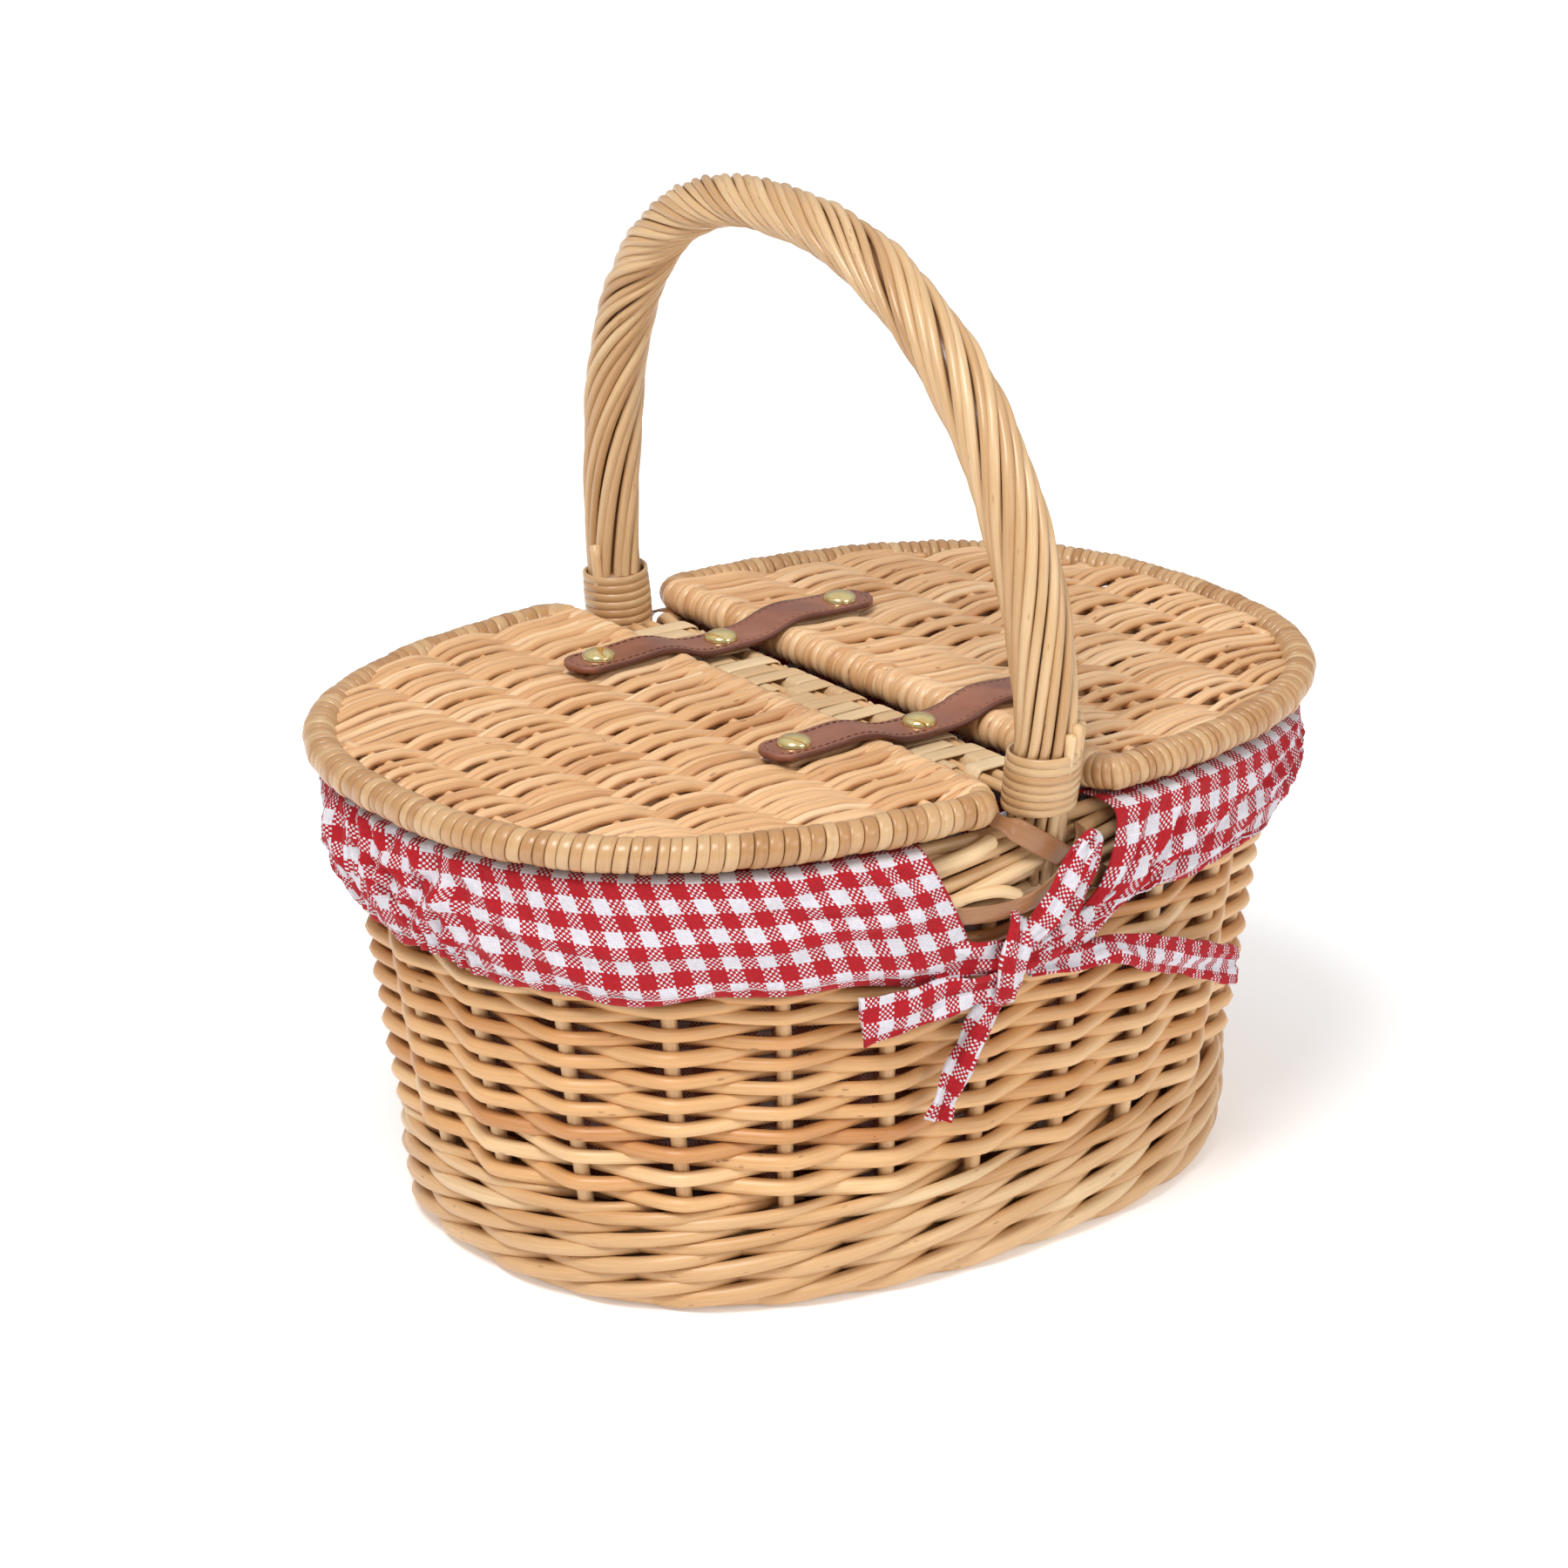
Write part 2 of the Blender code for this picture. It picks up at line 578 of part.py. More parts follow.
def build_hinges():
    """Straps and rivets, with the hole cutters that the lids and the bridge also use."""
    tools = {"left": [], "centre": [], "right": []}
    for label, middle in STRAP_POSITIONS.items():
        own = {}
        for end, x in (("left", -RIVET_OFFSET), ("centre", 0.0), ("right", RIVET_OFFSET)):
            own[end] = rivet_hole_tool(f"rivet_hole_{label}_{end}", x, middle, 0.140, 0.170)
            tools[end].append(own[end])
        build_strap(label, middle, own)
        half = STRAP_THICKNESS / 2.0
        build_rivet(f"rivet_{label}_centre", 0.0, middle, HINGE_LEVEL + half, BRIDGE_BOTTOM)
        for end, side in (("left", -1.0), ("right", 1.0)):
            rivet = build_rivet(f"rivet_{label}_{end}", side * RIVET_OFFSET, middle,
                                STRAP_LID_LEVEL + half, PANEL_BOTTOM)
            set_origin(rivet, (side * HINGE_OFFSET, 0.0, HINGE_LEVEL))
    return tools


# ---- liner ----------------------------------------------------------------------------
def build_liner_bag():
    """The sewn bag: a floor and a wall that follow the inside of the basket."""
    floor = BASE_LEVEL + BASE_THICKNESS / 2.0 + GAP
    outside = -WALL_THICKNESS - 2.0 * GAP
    levels = [(outside, floor), (outside, WEAVE_TOP - 0.006), (-0.0136, WEAVE_TOP - 0.001),
              (-0.0136, LINER_TOP)]
    bm = bmesh.new()
    turns = all_round()
    thin = LINER_THICKNESS

    def loop(offset, level, height=0.0):
        points = oval_points(wall_half(level, offset), OVAL_POWER, turns)
        return [bm.verts.new((x, y, level + height)) for x, y in points]

    loops = [loop(offset, z) for offset, z in levels]
    loops += [loop(offset - thin, z) for offset, z in reversed(levels[1:])]
    loops.append(loop(outside - thin, floor, thin))
    for first, second in zip(loops, loops[1:]):
        join_loops(bm, first, second)
    bm.faces.new(loops[0])
    bm.faces.new(loops[-1])
    add_object("liner_bag", bm, GINGHAM, 40)


def skirt_turns(side):
    """Shares of the way round the oval that one half of the skirt covers."""
    dense = np.arange(1440) / 1440.0
    points = oval_points(wall_half(WALL_TOP), OVAL_POWER, dense)
    covered = dense[side * points[:, 0] > SKIRT_NOTCH]
    if side > 0:
        covered = np.sort(np.where(covered > 0.5, covered - 1.0, covered))
    return np.linspace(covered[0], covered[-1], 21)


def build_skirts():
    """The gathered skirt that folds over the border, open at each foot of the handle."""
    thin = LINER_THICKNESS
    outside = [(-0.0128, BORDER_TOP + GAP + thin), (-0.0020, BORDER_TOP + GAP + thin),
               (0.0045, 0.1440), (0.0060, 0.1250), (0.0050, SKIRT_BOTTOM)]
    inside = [(-0.0128, BORDER_TOP + GAP), (-0.0024, BORDER_TOP + GAP), (0.0033, 0.1436),
              (0.0048, 0.1250), (0.0038, SKIRT_BOTTOM)]
    for label, side in (("left", -1.0), ("right", 1.0)):
        turns = np.mod(skirt_turns(side), 1.0)
        skirt = ring_mesh(outside + inside[::-1], turns, closed=False)
        add_object(f"liner_skirt_{label}", skirt, GINGHAM, 40)


def build_ties():
    """A bow at each foot of the handle: a knot with one loop and three ends."""
    knot_x, knot_level = -0.0190, 0.1065
    strips = {
        "right_end": ((-0.012, 0.1060), (0.071, 0.0800)),
        "left_end": ((-0.020, 0.1000), (-0.064, 0.0975)),
        "lower_end": ((-0.020, 0.1000), (-0.037, 0.0590)),
        "loop": ((-0.016, 0.1090), (0.010, 0.1405)),
    }
    near, far = TIE_FACE, TIE_FACE + TIE_THICKNESS
    for label, side in (("front", -1.0), ("rear", 1.0)):
        knot = bmesh.new()
        bmesh.ops.create_icosphere(knot, subdivisions=2, radius=1.0)
        bmesh.ops.scale(knot, verts=knot.verts, vec=(0.0085, 0.0040, 0.0105))
        middle = (knot_x * -side, side * (near + 0.0004), knot_level)
        bmesh.ops.translate(knot, verts=knot.verts, vec=middle)
        tie = add_object(f"tie_{label}", knot, GINGHAM, 50)
        for number, (strip, (start, end)) in enumerate(strips.items()):
            start = (start[0] * -side, start[1])
            end = (end[0] * -side, end[1])
            inset = 0.0001 * number    # keeps the faces of crossing strips apart
            bm = slanted_strip(start, end, TIE_WIDTH, side * (near + inset), side * (far - inset))
            boolean(tie, hide_tool(add_object(f"tie_{label}_{strip}", bm, GINGHAM)), "UNION")


def main():
    stake_tools = build_stakes()
    core_tool = build_handle()
    rod_tools = build_bridge_rods()
    build_body(stake_tools, core_tool, rod_tools)
    holes = build_hinges()
    build_bridge_weave(rod_tools, holes["centre"])
    build_bindings()
    build_lashings()
    build_lid("left", -1.0, holes["left"])
    build_lid("right", 1.0, holes["right"])
    build_liner_bag()
    build_skirts()
    build_ties()


main()
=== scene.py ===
"""The looks of the oval wicker picnic basket: woven willow, a gingham liner, leather and brass.

Metres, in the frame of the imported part: the origin is the centre of the footprint, +X runs
along the basket towards the right lid, +Y towards the rear foot of the handle, +Z is up.
"""

import math

import bpy
import numpy as np
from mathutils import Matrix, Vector


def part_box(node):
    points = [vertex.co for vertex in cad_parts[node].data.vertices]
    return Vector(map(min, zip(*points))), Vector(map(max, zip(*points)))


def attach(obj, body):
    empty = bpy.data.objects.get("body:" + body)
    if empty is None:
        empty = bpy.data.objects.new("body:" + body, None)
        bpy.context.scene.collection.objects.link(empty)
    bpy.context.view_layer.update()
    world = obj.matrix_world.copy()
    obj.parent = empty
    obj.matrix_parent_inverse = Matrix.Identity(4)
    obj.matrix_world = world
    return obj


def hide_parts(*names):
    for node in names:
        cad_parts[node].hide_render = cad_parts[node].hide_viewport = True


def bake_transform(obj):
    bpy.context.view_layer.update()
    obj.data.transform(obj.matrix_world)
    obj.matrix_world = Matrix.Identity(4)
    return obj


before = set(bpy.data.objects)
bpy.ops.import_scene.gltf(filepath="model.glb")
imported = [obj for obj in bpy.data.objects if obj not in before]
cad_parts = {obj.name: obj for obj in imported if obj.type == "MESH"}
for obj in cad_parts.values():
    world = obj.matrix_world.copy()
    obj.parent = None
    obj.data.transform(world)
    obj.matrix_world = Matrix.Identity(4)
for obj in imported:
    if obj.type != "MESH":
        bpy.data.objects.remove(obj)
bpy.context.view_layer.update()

# ---- driving dimensions, the same as in the CAD ------------------------------------------
WALL_BASE_HALF = np.array((0.1300, 0.0975))
WALL_TOP_HALF = np.array((0.1540, 0.1120))
WALL_TOP = 0.150
WALL_BOW = 0.24
WALL_POWER = 2.4
STAKES = 24
STAKE_DEPTH = 0.0055
STAKE_RADIUS = 0.0025

LID_POWER = 2.55
HOOP_RADIUS = 0.0055
BAR_OFFSET = 0.0230
RIB_OFFSETS = (0.040, 0.068, 0.095, 0.121, 0.146)
WEAVE_HALF = 0.1045            # how far the lid weave reaches to the front and the rear

HANDLE_HALF_SPAN = 0.1095
HANDLE_SPRING = 0.1700
HANDLE_RISE = 0.1360
HANDLE_POWER = 2.3
HANDLE_LEAN = 0.0210
HANDLE_LEAN_POWER = 1.5
LEG_LEAN = 0.14                # how much the legs lean out, for each metre above the wall


def middle_z(node):
    """The height halfway up a CAD node."""
    low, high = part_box(node)
    return (low.z + high.z) / 2.0


FOOT_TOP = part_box("foot_wale")[1].z
WEAVE_BOTTOM, WEAVE_TOP = (corner.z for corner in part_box("side_weave"))
BORDER_BOTTOM, BORDER_TOP = (corner.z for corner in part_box("top_border"))
BASE_LEVEL = middle_z("base_panel")
LID_LEVEL = middle_z("right_lid_hoop")
PANEL_LEVEL = middle_z("right_lid_panel")
STRAP_LEVEL = middle_z("strap_front_centre")
LID_HALF = np.array((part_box("right_lid_hoop")[1].x, 0.1170))
BINDING_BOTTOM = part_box("handle_binding_front")[0].z + 0.0012
BINDING_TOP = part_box("handle_binding_front")[1].z - 0.0012
BRIDGE_HALF_WIDTH, BRIDGE_HALF_LENGTH, BRIDGE_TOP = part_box("bridge_weave")[1]
STRAP_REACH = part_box("strap_front_right")[1].x

CHECK = 0.0046                 # one gingham square
YARN = CHECK / 6.0             # one yarn of the gingham

TURN = 2.0 * math.pi
X_AXIS, Y_AXIS, Z_AXIS = (1.0, 0.0, 0.0), (0.0, 1.0, 0.0), (0.0, 0.0, 1.0)


# ---- small geometry helpers ---------------------------------------------------------------
def unit(vectors):
    return vectors / np.linalg.norm(vectors, axis=-1, keepdims=True)


def signed_power(values, power):
    return np.sign(values) * np.abs(values) ** power


def smooth_step(values, low, high):
    t = np.clip((values - low) / (high - low), 0.0, 1.0)
    return t * t * (3.0 - 2.0 * t)


def smoothed(values, reach, **padding):
    """Values averaged with their neighbours, the near ones most."""
    kernel = np.hanning(2 * reach + 3)[1:-1]
    padding = padding or {"mode": "edge"}
    return np.convolve(np.pad(values, reach, **padding), kernel / kernel.sum(), mode="valid")


def wobble(turns, rng, counts):
    """A smooth random wave round a closed ring, of about unit size. turns is 0 to 1."""
    total = np.zeros_like(turns)
    for count in counts:
        total += rng.normal() * np.sin(TURN * (count * turns + rng.random()))
    return total / math.sqrt(len(counts))


def smooth_path(points, count):
    """A Catmull-Rom curve through a few points."""
    p = np.asarray(points, float)
    p = np.vstack([2.0 * p[0] - p[1], p, 2.0 * p[-1] - p[-2]])
    t = np.linspace(0.0, len(points) - 1.0, count)
    i = np.minimum(t.astype(int), len(points) - 2)
    f = (t - i)[:, None]
    a, b, c, d = p[i], p[i + 1], p[i + 2], p[i + 3]
    return 0.5 * (2.0 * b + (c - a) * f + (2.0 * a - 5.0 * b + 4.0 * c - d) * f**2
                  + (3.0 * b - 3.0 * c + d - a) * f**3)


def finer(grid, rows, columns):
    """The same sheet of values, on a grid of another size."""
    depth = grid.shape[2]
    tall = smooth_path(grid.reshape(len(grid), -1), rows).reshape(rows, -1, depth)
    wide = smooth_path(tall.swapaxes(0, 1).reshape(tall.shape[1], -1), columns)
    return wide.reshape(columns, rows, depth).swapaxes(0, 1)


def lengths_along(path):
    return np.concatenate([[0.0], np.cumsum(np.linalg.norm(np.diff(path, axis=0), axis=1))])


def resample(path, distances):
    along = lengths_along(path)
    return np.column_stack([np.interp(distances, along, path[:, k]) for k in range(path.shape[1])])


class Oval:
    """A superellipse outline walked by share of its length."""

    def __init__(self, half, power):
        t = np.linspace(0.0, TURN, 5761)
        self.power = power
        self.ux = signed_power(np.cos(t), 2.0 / power)
        self.uy = signed_power(np.sin(t), 2.0 / power)
        step = np.hypot(np.diff(self.ux) * half[0], np.diff(self.uy) * half[1])
        self.walk = np.concatenate([[0.0], np.cumsum(step)])
        self.length = self.walk[-1]
        self.walk /= self.length

    def at(self, turns, half_x, half_y):
        """Points on the outline and its outward normals, for arrays of turns and half sizes."""
        turns = np.mod(turns, 1.0)
        ux = np.interp(turns, self.walk, self.ux)
        uy = np.interp(turns, self.walk, self.uy)
        normal = np.stack([signed_power(ux, self.power - 1.0) / half_x,
                           signed_power(uy, self.power - 1.0) / half_y], axis=-1)
        return np.stack([ux * half_x, uy * half_y], axis=-1), unit(normal)

    def turn_of(self, x, front=True):
        """How far round the front or rear side has this x, which is a share of half the length."""
        inside = self.walk > 0.5 if front else self.walk <= 0.5
        ux, walk = self.ux[inside], self.walk[inside]
        order = np.argsort(ux)
        return np.interp(x, ux[order], walk[order])


def wall_halves(level):
    share = np.asarray(level) / WALL_TOP
    share = share + WALL_BOW * share * (1.0 - share)
    half = WALL_BASE_HALF + (WALL_TOP_HALF - WALL_BASE_HALF) * share[..., None]
    return half[..., 0], half[..., 1]


WALL = Oval(wall_halves(0.075), WALL_POWER)


def wall_points(turns, level, out):
    """Points on or off the wall's outside face, and the outward normals there."""
    turns, level, out = np.broadcast_arrays(turns, level, out)
    half_x, half_y = wall_halves(level)
    plan, normal = WALL.at(turns, half_x, half_y)
    plan = plan + normal * out[..., None]
    flat = np.zeros(level.shape + (1,))
    points = np.concatenate([plan, level[..., None]], axis=-1)
    return points, np.concatenate([normal, flat], axis=-1)


def on_wall(points, label):
    """Turns (x, level, distance out) into points and normals on the front of the wall.

    For the rear, they are turned half round.
    """
    points = np.asarray(points, float)
    half_x, _ = wall_halves(points[:, 1])
    turns = WALL.turn_of(points[:, 0] / half_x)
    path, normal = wall_points(turns, points[:, 1], points[:, 2])
    facing = (-1.0, -1.0, 1.0) if label == "rear" else (1.0, 1.0, 1.0)
    return path * facing, normal * facing


# ---- meshes: bundles of rods and sheets of cloth -------------------------------------------
def round_section(sides, power=2.0):
    angle = TURN * np.arange(sides) / sides
    return np.column_stack([signed_power(np.cos(angle), 2.0 / power),
                            signed_power(np.sin(angle), 2.0 / power)])


def grid_quads(index, wrap):
    """The quads between the rows of a grid of vertex numbers."""
    following = np.roll(index, -1, axis=1)
    if not wrap:
        index, following = index[:, :-1], following[:, :-1]
    return np.stack([index[:-1], following[:-1], following[1:], index[1:]], axis=-1).reshape(-1, 4)


def make_object(name, points, faces, materials, slots=None):
    """A smooth mesh object. Each array in faces holds faces with one number of corners."""
    corners = np.concatenate([part.ravel() for part in faces])
    sizes = np.concatenate([np.full(len(part), part.shape[1]) for part in faces])
    mesh = bpy.data.meshes.new(name)
    mesh.vertices.add(len(points))
    mesh.vertices.foreach_set("co", points.astype(np.float32).ravel())
    mesh.loops.add(len(corners))
    mesh.loops.foreach_set("vertex_index", corners)
    mesh.polygons.add(len(sizes))
    mesh.polygons.foreach_set("loop_start", np.cumsum(sizes) - sizes)
    if slots is not None:
        mesh.polygons.foreach_set("material_index", slots)
    mesh.update(calc_edges=True)
    mesh.shade_smooth()
    for material in materials:
        mesh.materials.append(material)
    obj = bpy.data.objects.new(name, mesh)
    bpy.context.scene.collection.objects.link(obj)
    return obj


class Bundle:
    """Swept rods and strips in one mesh. Each has its own tint and grain coordinates."""

    def __init__(self, name, seed=0):
        self.name = name
        self.rng = np.random.default_rng(seed)
        self.points, self.grain, self.tint = [], [], []
        self.quads, self.fans, self.quad_slots, self.fan_slots = [], [], [], []
        self.count = 0

    def add(self, path, width, height=None, across=Z_AXIS, section=None, tint=None,
            closed=False, dome=0.35, slot=0):
        path = np.asarray(path, float)
        n = len(path)
        section = round_section(8) if section is None else section
        sides = len(section)
        width = np.broadcast_to(np.asarray(width, float), (n,))
        height = width if height is None else np.broadcast_to(np.asarray(height, float), (n,))
        if closed:
            tangent = np.roll(path, -1, axis=0) - np.roll(path, 1, axis=0)
        else:
            tangent = np.gradient(path, axis=0)
        tangent = unit(tangent)
        across = np.broadcast_to(np.asarray(across, float), (n, 3))
        across = unit(across - tangent * np.sum(across * tangent, axis=1, keepdims=True))
        up = np.cross(tangent, across)
        sx = section[None, :, 0] * width[:, None]
        sy = section[None, :, 1] * height[:, None]
        rings = path[:, None] + across[:, None] * sx[..., None] + up[:, None] * sy[..., None]
        along = lengths_along(path) + self.rng.random() * 50.0
        grain = np.stack([np.broadcast_to(along[:, None], sx.shape), sx, sy], axis=-1)
        tint = self.rng.random() if tint is None else tint
        tint = np.broadcast_to(np.asarray(tint, float), (n,))
        index = self.count + np.arange(n * sides).reshape(n, sides)
        quads = grid_quads(np.vstack([index, index[:1]]) if closed else index, wrap=True)
        self.points.append(rings.reshape(-1, 3))
        self.grain.append(grain.reshape(-1, 3))
        self.tint.append(np.repeat(tint, sides))
        self.quads.append(quads)
        self.quad_slots.append(np.full(len(quads), slot))
        self.count += n * sides
        if closed:
            return
        for end, direction in ((0, -1.0), (n - 1, 1.0)):
            tip = path[end] + tangent[end] * direction * height[end] * dome
            centre = np.full(sides, self.count)
            self.points.append(tip[None])
            self.grain.append(np.array([[along[end], 0.0, 0.0]]))
            self.tint.append(tint[end:end + 1])
            self.count += 1
            fan = np.stack([index[end], np.roll(index[end], -1), centre], axis=-1)
            self.fans.append(fan[:, ::-1] if direction < 0 else fan)
            self.fan_slots.append(np.full(sides, slot))

    def build(self, *materials):
        faces = [np.concatenate(part) for part in (self.quads, self.fans) if part]
        slots = np.concatenate(self.quad_slots + self.fan_slots)
        obj = make_object(self.name, np.concatenate(self.points), faces, materials, slots)
        grain = obj.data.attributes.new("grain", "FLOAT_VECTOR", "POINT")
        grain.data.foreach_set("vector", np.concatenate(self.grain).astype(np.float32).ravel())
        tint = obj.data.attributes.new("tint", "FLOAT", "POINT")
        tint.data.foreach_set("value", np.concatenate(self.tint).astype(np.float32))
        return obj


class Cloth:
    """Sheets of cloth in one mesh, with coordinates in metres along and across the weave."""

    def __init__(self, name):
        self.name = name
        self.points, self.coords, self.quads = [], [], []
        self.count = 0

    def add(self, grid, coords, wrap=False):
        rows, columns = grid.shape[:2]
        index = self.count + np.arange(rows * columns).reshape(rows, columns)
        self.points.append(grid.reshape(-1, 3))
        self.coords.append(coords.reshape(-1, 2))
        self.quads.append(grid_quads(index, wrap))
        self.count += rows * columns

    def build(self, thickness, *materials):
        """The first material is for the front of the cloth, and the second for its back."""
        quads = np.concatenate(self.quads)
        obj = make_object(self.name, np.concatenate(self.points), [quads], materials)
        layer = obj.data.uv_layers.new(name="cloth")
        coords = np.concatenate(self.coords)[quads.ravel()]
        layer.data.foreach_set("uv", coords.astype(np.float32).ravel())
        solidify = obj.modifiers.new("thickness", "SOLIDIFY")
        solidify.thickness = thickness
        solidify.offset = 0.0
        solidify.material_offset = len(materials) - 1
        return obj


# ---- materials ----------------------------------------------------------------------------
class Nodes:
    """A short way to write a node tree."""

    def __init__(self, name):
        self.material = bpy.data.materials.new(name)
        self.material.use_nodes = True
        self.tree = self.material.node_tree
        self.shader = self.tree.nodes["Principled BSDF"]

    def node(self, kind, settings=None, **inputs):
        made = self.tree.nodes.new("ShaderNode" + kind)
        for key, value in (settings or {}).items():
            setattr(made, key, value)
        for key, value in inputs.items():
            self.put(made.inputs[key.replace("_", " ")], value)
        return made

    def put(self, socket, value):
        if isinstance(value, bpy.types.NodeSocket):
            self.tree.links.new(value, socket)
        else:
            socket.default_value = value

    def attribute(self, name, output):
        return self.node("Attribute", {"attribute_name": name}).outputs[output]

    def math(self, operation, first, second=0.0, third=None, clamp=False):
        made = self.node("Math", {"operation": operation, "use_clamp": clamp})
        self.put(made.inputs[0], first)
        self.put(made.inputs[1], second)
        if third is not None:
            self.put(made.inputs[2], third)
        return made.outputs[0]

    def mix(self, share, first, second, blend="MIX"):
        made = self.node("Mix", {"data_type": "RGBA", "blend_type": blend})
        self.put(made.inputs["Factor"], share)
        self.put(made.inputs["A"], first)
        self.put(made.inputs["B"], second)
        return made.outputs["Result"]

    def ramp(self, value, stops, interpolation="LINEAR"):
        made = self.node("ValToRGB", Fac=value)
        elements = made.color_ramp.elements
        made.color_ramp.interpolation = interpolation
        while len(elements) < len(stops):
            elements.new(0.5)
        for element, (position, colour) in zip(elements, stops):
            element.position = position
            element.color = colour if len(colour) == 4 else (*colour, 1.0)
        return made.outputs["Color"]

    def noise(self, vector, scale, detail=2.0, roughness=0.5):
        return self.node("TexNoise", Vector=vector, Scale=scale, Detail=detail,
                         Roughness=roughness).outputs["Fac"]

    def stretch(self, vector, scale):
        return self.node("Mapping", {"vector_type": "POINT"}, Vector=vector,
                         Scale=scale).outputs["Vector"]

    def bump(self, height, strength, distance, normal=None):
        made = self.node("Bump", Height=height, Strength=strength, Distance=distance)
        if normal is not None:
            self.put(made.inputs["Normal"], normal)
        return made.outputs["Normal"]

    def set(self, **inputs):
        for key, value in inputs.items():
            self.put(self.shader.inputs[key.replace("_", " ")], value)


def srgb(*levels):
    """A colour from red, green and blue screen values of 0 to 255, as nodes use it."""
    shares = [level / 255.0 for level in levels]
    return (*(c / 12.92 if c <= 10 / 255.0 else ((c + 0.055) / 1.055) ** 2.4 for c in shares), 1.0)


def tones(*stops):
    """The stops of a colour ramp, from (position, red, green, blue)."""
    return [(position, srgb(*levels)) for position, *levels in stops]


def make_willow(name, stops, roughness=0.42, coat=0.18, speck=0.5):
    """Peeled willow: a tint for each rod, long fibres, small dark specks and a soft sheen."""
    m = Nodes(name)
    grain = m.attribute("grain", "Vector")
    tint = m.attribute("tint", "Fac")
    drift = m.noise(m.stretch(grain, (22.0, 60.0, 60.0)), 1.0, 2.0)
    shade = m.math("MULTIPLY_ADD", drift, 0.55, m.math("MULTIPLY_ADD", tint, 0.75, -0.15), True)
    colour = m.ramp(shade, stops)
    fibre = m.noise(m.stretch(grain, (70.0, 1700.0, 1700.0)), 1.0, 3.0, 0.6)
    streaks = m.ramp(fibre, [(0.30, (0.80, 0.74, 0.66)), (0.62, (1.06, 1.06, 1.06))])
    colour = m.mix(0.55, colour, streaks, "MULTIPLY")
    spots = m.node("TexVoronoi", Vector=m.stretch(grain, (130.0, 420.0, 420.0)), Scale=1.0)
    rare = m.noise(m.stretch(grain, (35.0, 90.0, 90.0)), 1.0, 0.0)
    near = m.math("LESS_THAN", spots.outputs["Distance"], 0.16)
    speckled = m.math("MULTIPLY", near, m.math("GREATER_THAN", rare, 0.60))
    colour = m.mix(m.math("MULTIPLY", speckled, speck), colour, srgb(120, 70, 35))
    m.set(Base_Color=colour, Coat_Weight=coat, Coat_Roughness=0.28, Specular_IOR_Level=0.45,
          Roughness=m.math("MULTIPLY_ADD", fibre, 0.22, roughness - 0.11))
    m.set(Normal=m.bump(fibre, 0.22, 0.0004))
    return m.material


def make_gingham(name, shade=1.0):
    """Plain-woven gingham. Warp and weft change colour every check, and each yarn is drawn.

    The back of the bag is darker below the border: painted shade for the dim inside of the wall, seen
    through the gaps between its rods.
    """
    m = Nodes(name)
    coords = m.node("UVMap", {"uv_map": "cloth"}).outputs["UV"]
    split = m.node("SeparateXYZ", Vector=coords)
    yarns, stripes, crowns = [], [], []
    for axis in ("X", "Y"):
        place = split.outputs[axis]
        yarn = m.math("FLOOR", m.math("DIVIDE", place, YARN))
        half = m.math("FRACT", m.math("DIVIDE", place, 2.0 * CHECK))
        stripes.append(m.math("LESS_THAN", half, 0.5))
        middle = m.math("SUBTRACT", m.math("FRACT", m.math("DIVIDE", place, YARN)), 0.5)
        crowns.append(m.math("ABSOLUTE", middle))
        yarns.append(yarn)
    parity = m.math("MODULO", m.math("ABSOLUTE", m.math("ADD", yarns[0], yarns[1])), 2.0)
    over = m.math("GREATER_THAN", parity, 0.5)
    top_red = m.node("Mix", {"data_type": "FLOAT"})
    m.put(top_red.inputs["Factor"], over)
    m.put(top_red.inputs["A"], stripes[0])
    m.put(top_red.inputs["B"], stripes[1])
    both_white = m.math("SUBTRACT", 1.0, m.math("MAXIMUM", stripes[0], stripes[1]))
    inside = m.math("LESS_THAN", m.math("MAXIMUM", crowns[0], crowns[1]), 0.40)
    top_white = m.math("SUBTRACT", 1.0, top_red.outputs["Result"])
    shows_white = m.math("MULTIPLY", top_white, m.math("MAXIMUM", inside, both_white))
    slub = m.noise(m.stretch(coords, (900.0, 900.0, 1.0)), 1.0, 2.0)
    red = m.mix(slub, srgb(152, 20, 28), srgb(182, 38, 46))
    white = m.mix(slub, srgb(192, 188, 196), srgb(231, 228, 233))
    colour = m.mix(shows_white, red, white)
    # Painted shade: each yarn darkens towards its edges, where the gaps between the yarns lie in shadow.
    edge = m.math("MAXIMUM", crowns[0], crowns[1])
    yarn_gap_shade = m.ramp(edge, [(0.34, (1.0, 1.0, 1.0)), (0.50, (0.80, 0.77, 0.80))])
    colour = m.mix(0.8, colour, yarn_gap_shade, "MULTIPLY")
    # Painted shade: below the weave's top the colour is mixed towards brown, for the shadow behind the
    # wall.
    if shade < 1.0:
        height = m.node("SeparateXYZ", Vector=m.node("TexCoord").outputs["Object"]).outputs["Z"]
        below = m.node("MapRange", Value=height, From_Min=WEAVE_TOP, From_Max=BORDER_BOTTOM + 0.02,
                       To_Min=1.0 - shade, To_Max=0.0).outputs["Result"]
        colour = m.mix(below, colour, srgb(156, 108, 82))
    rounds = [m.math("SUBTRACT", 1.0, crown) for crown in crowns]
    weave = m.math("MULTIPLY", *rounds)
    height = m.math("MULTIPLY_ADD", over, 0.25, weave)
    m.set(Base_Color=colour, Roughness=0.92, Specular_IOR_Level=0.15, Sheen_Weight=0.06 * shade,
          Sheen_Roughness=0.5, Normal=m.bump(height, 0.30, 0.0002))
    return m.material


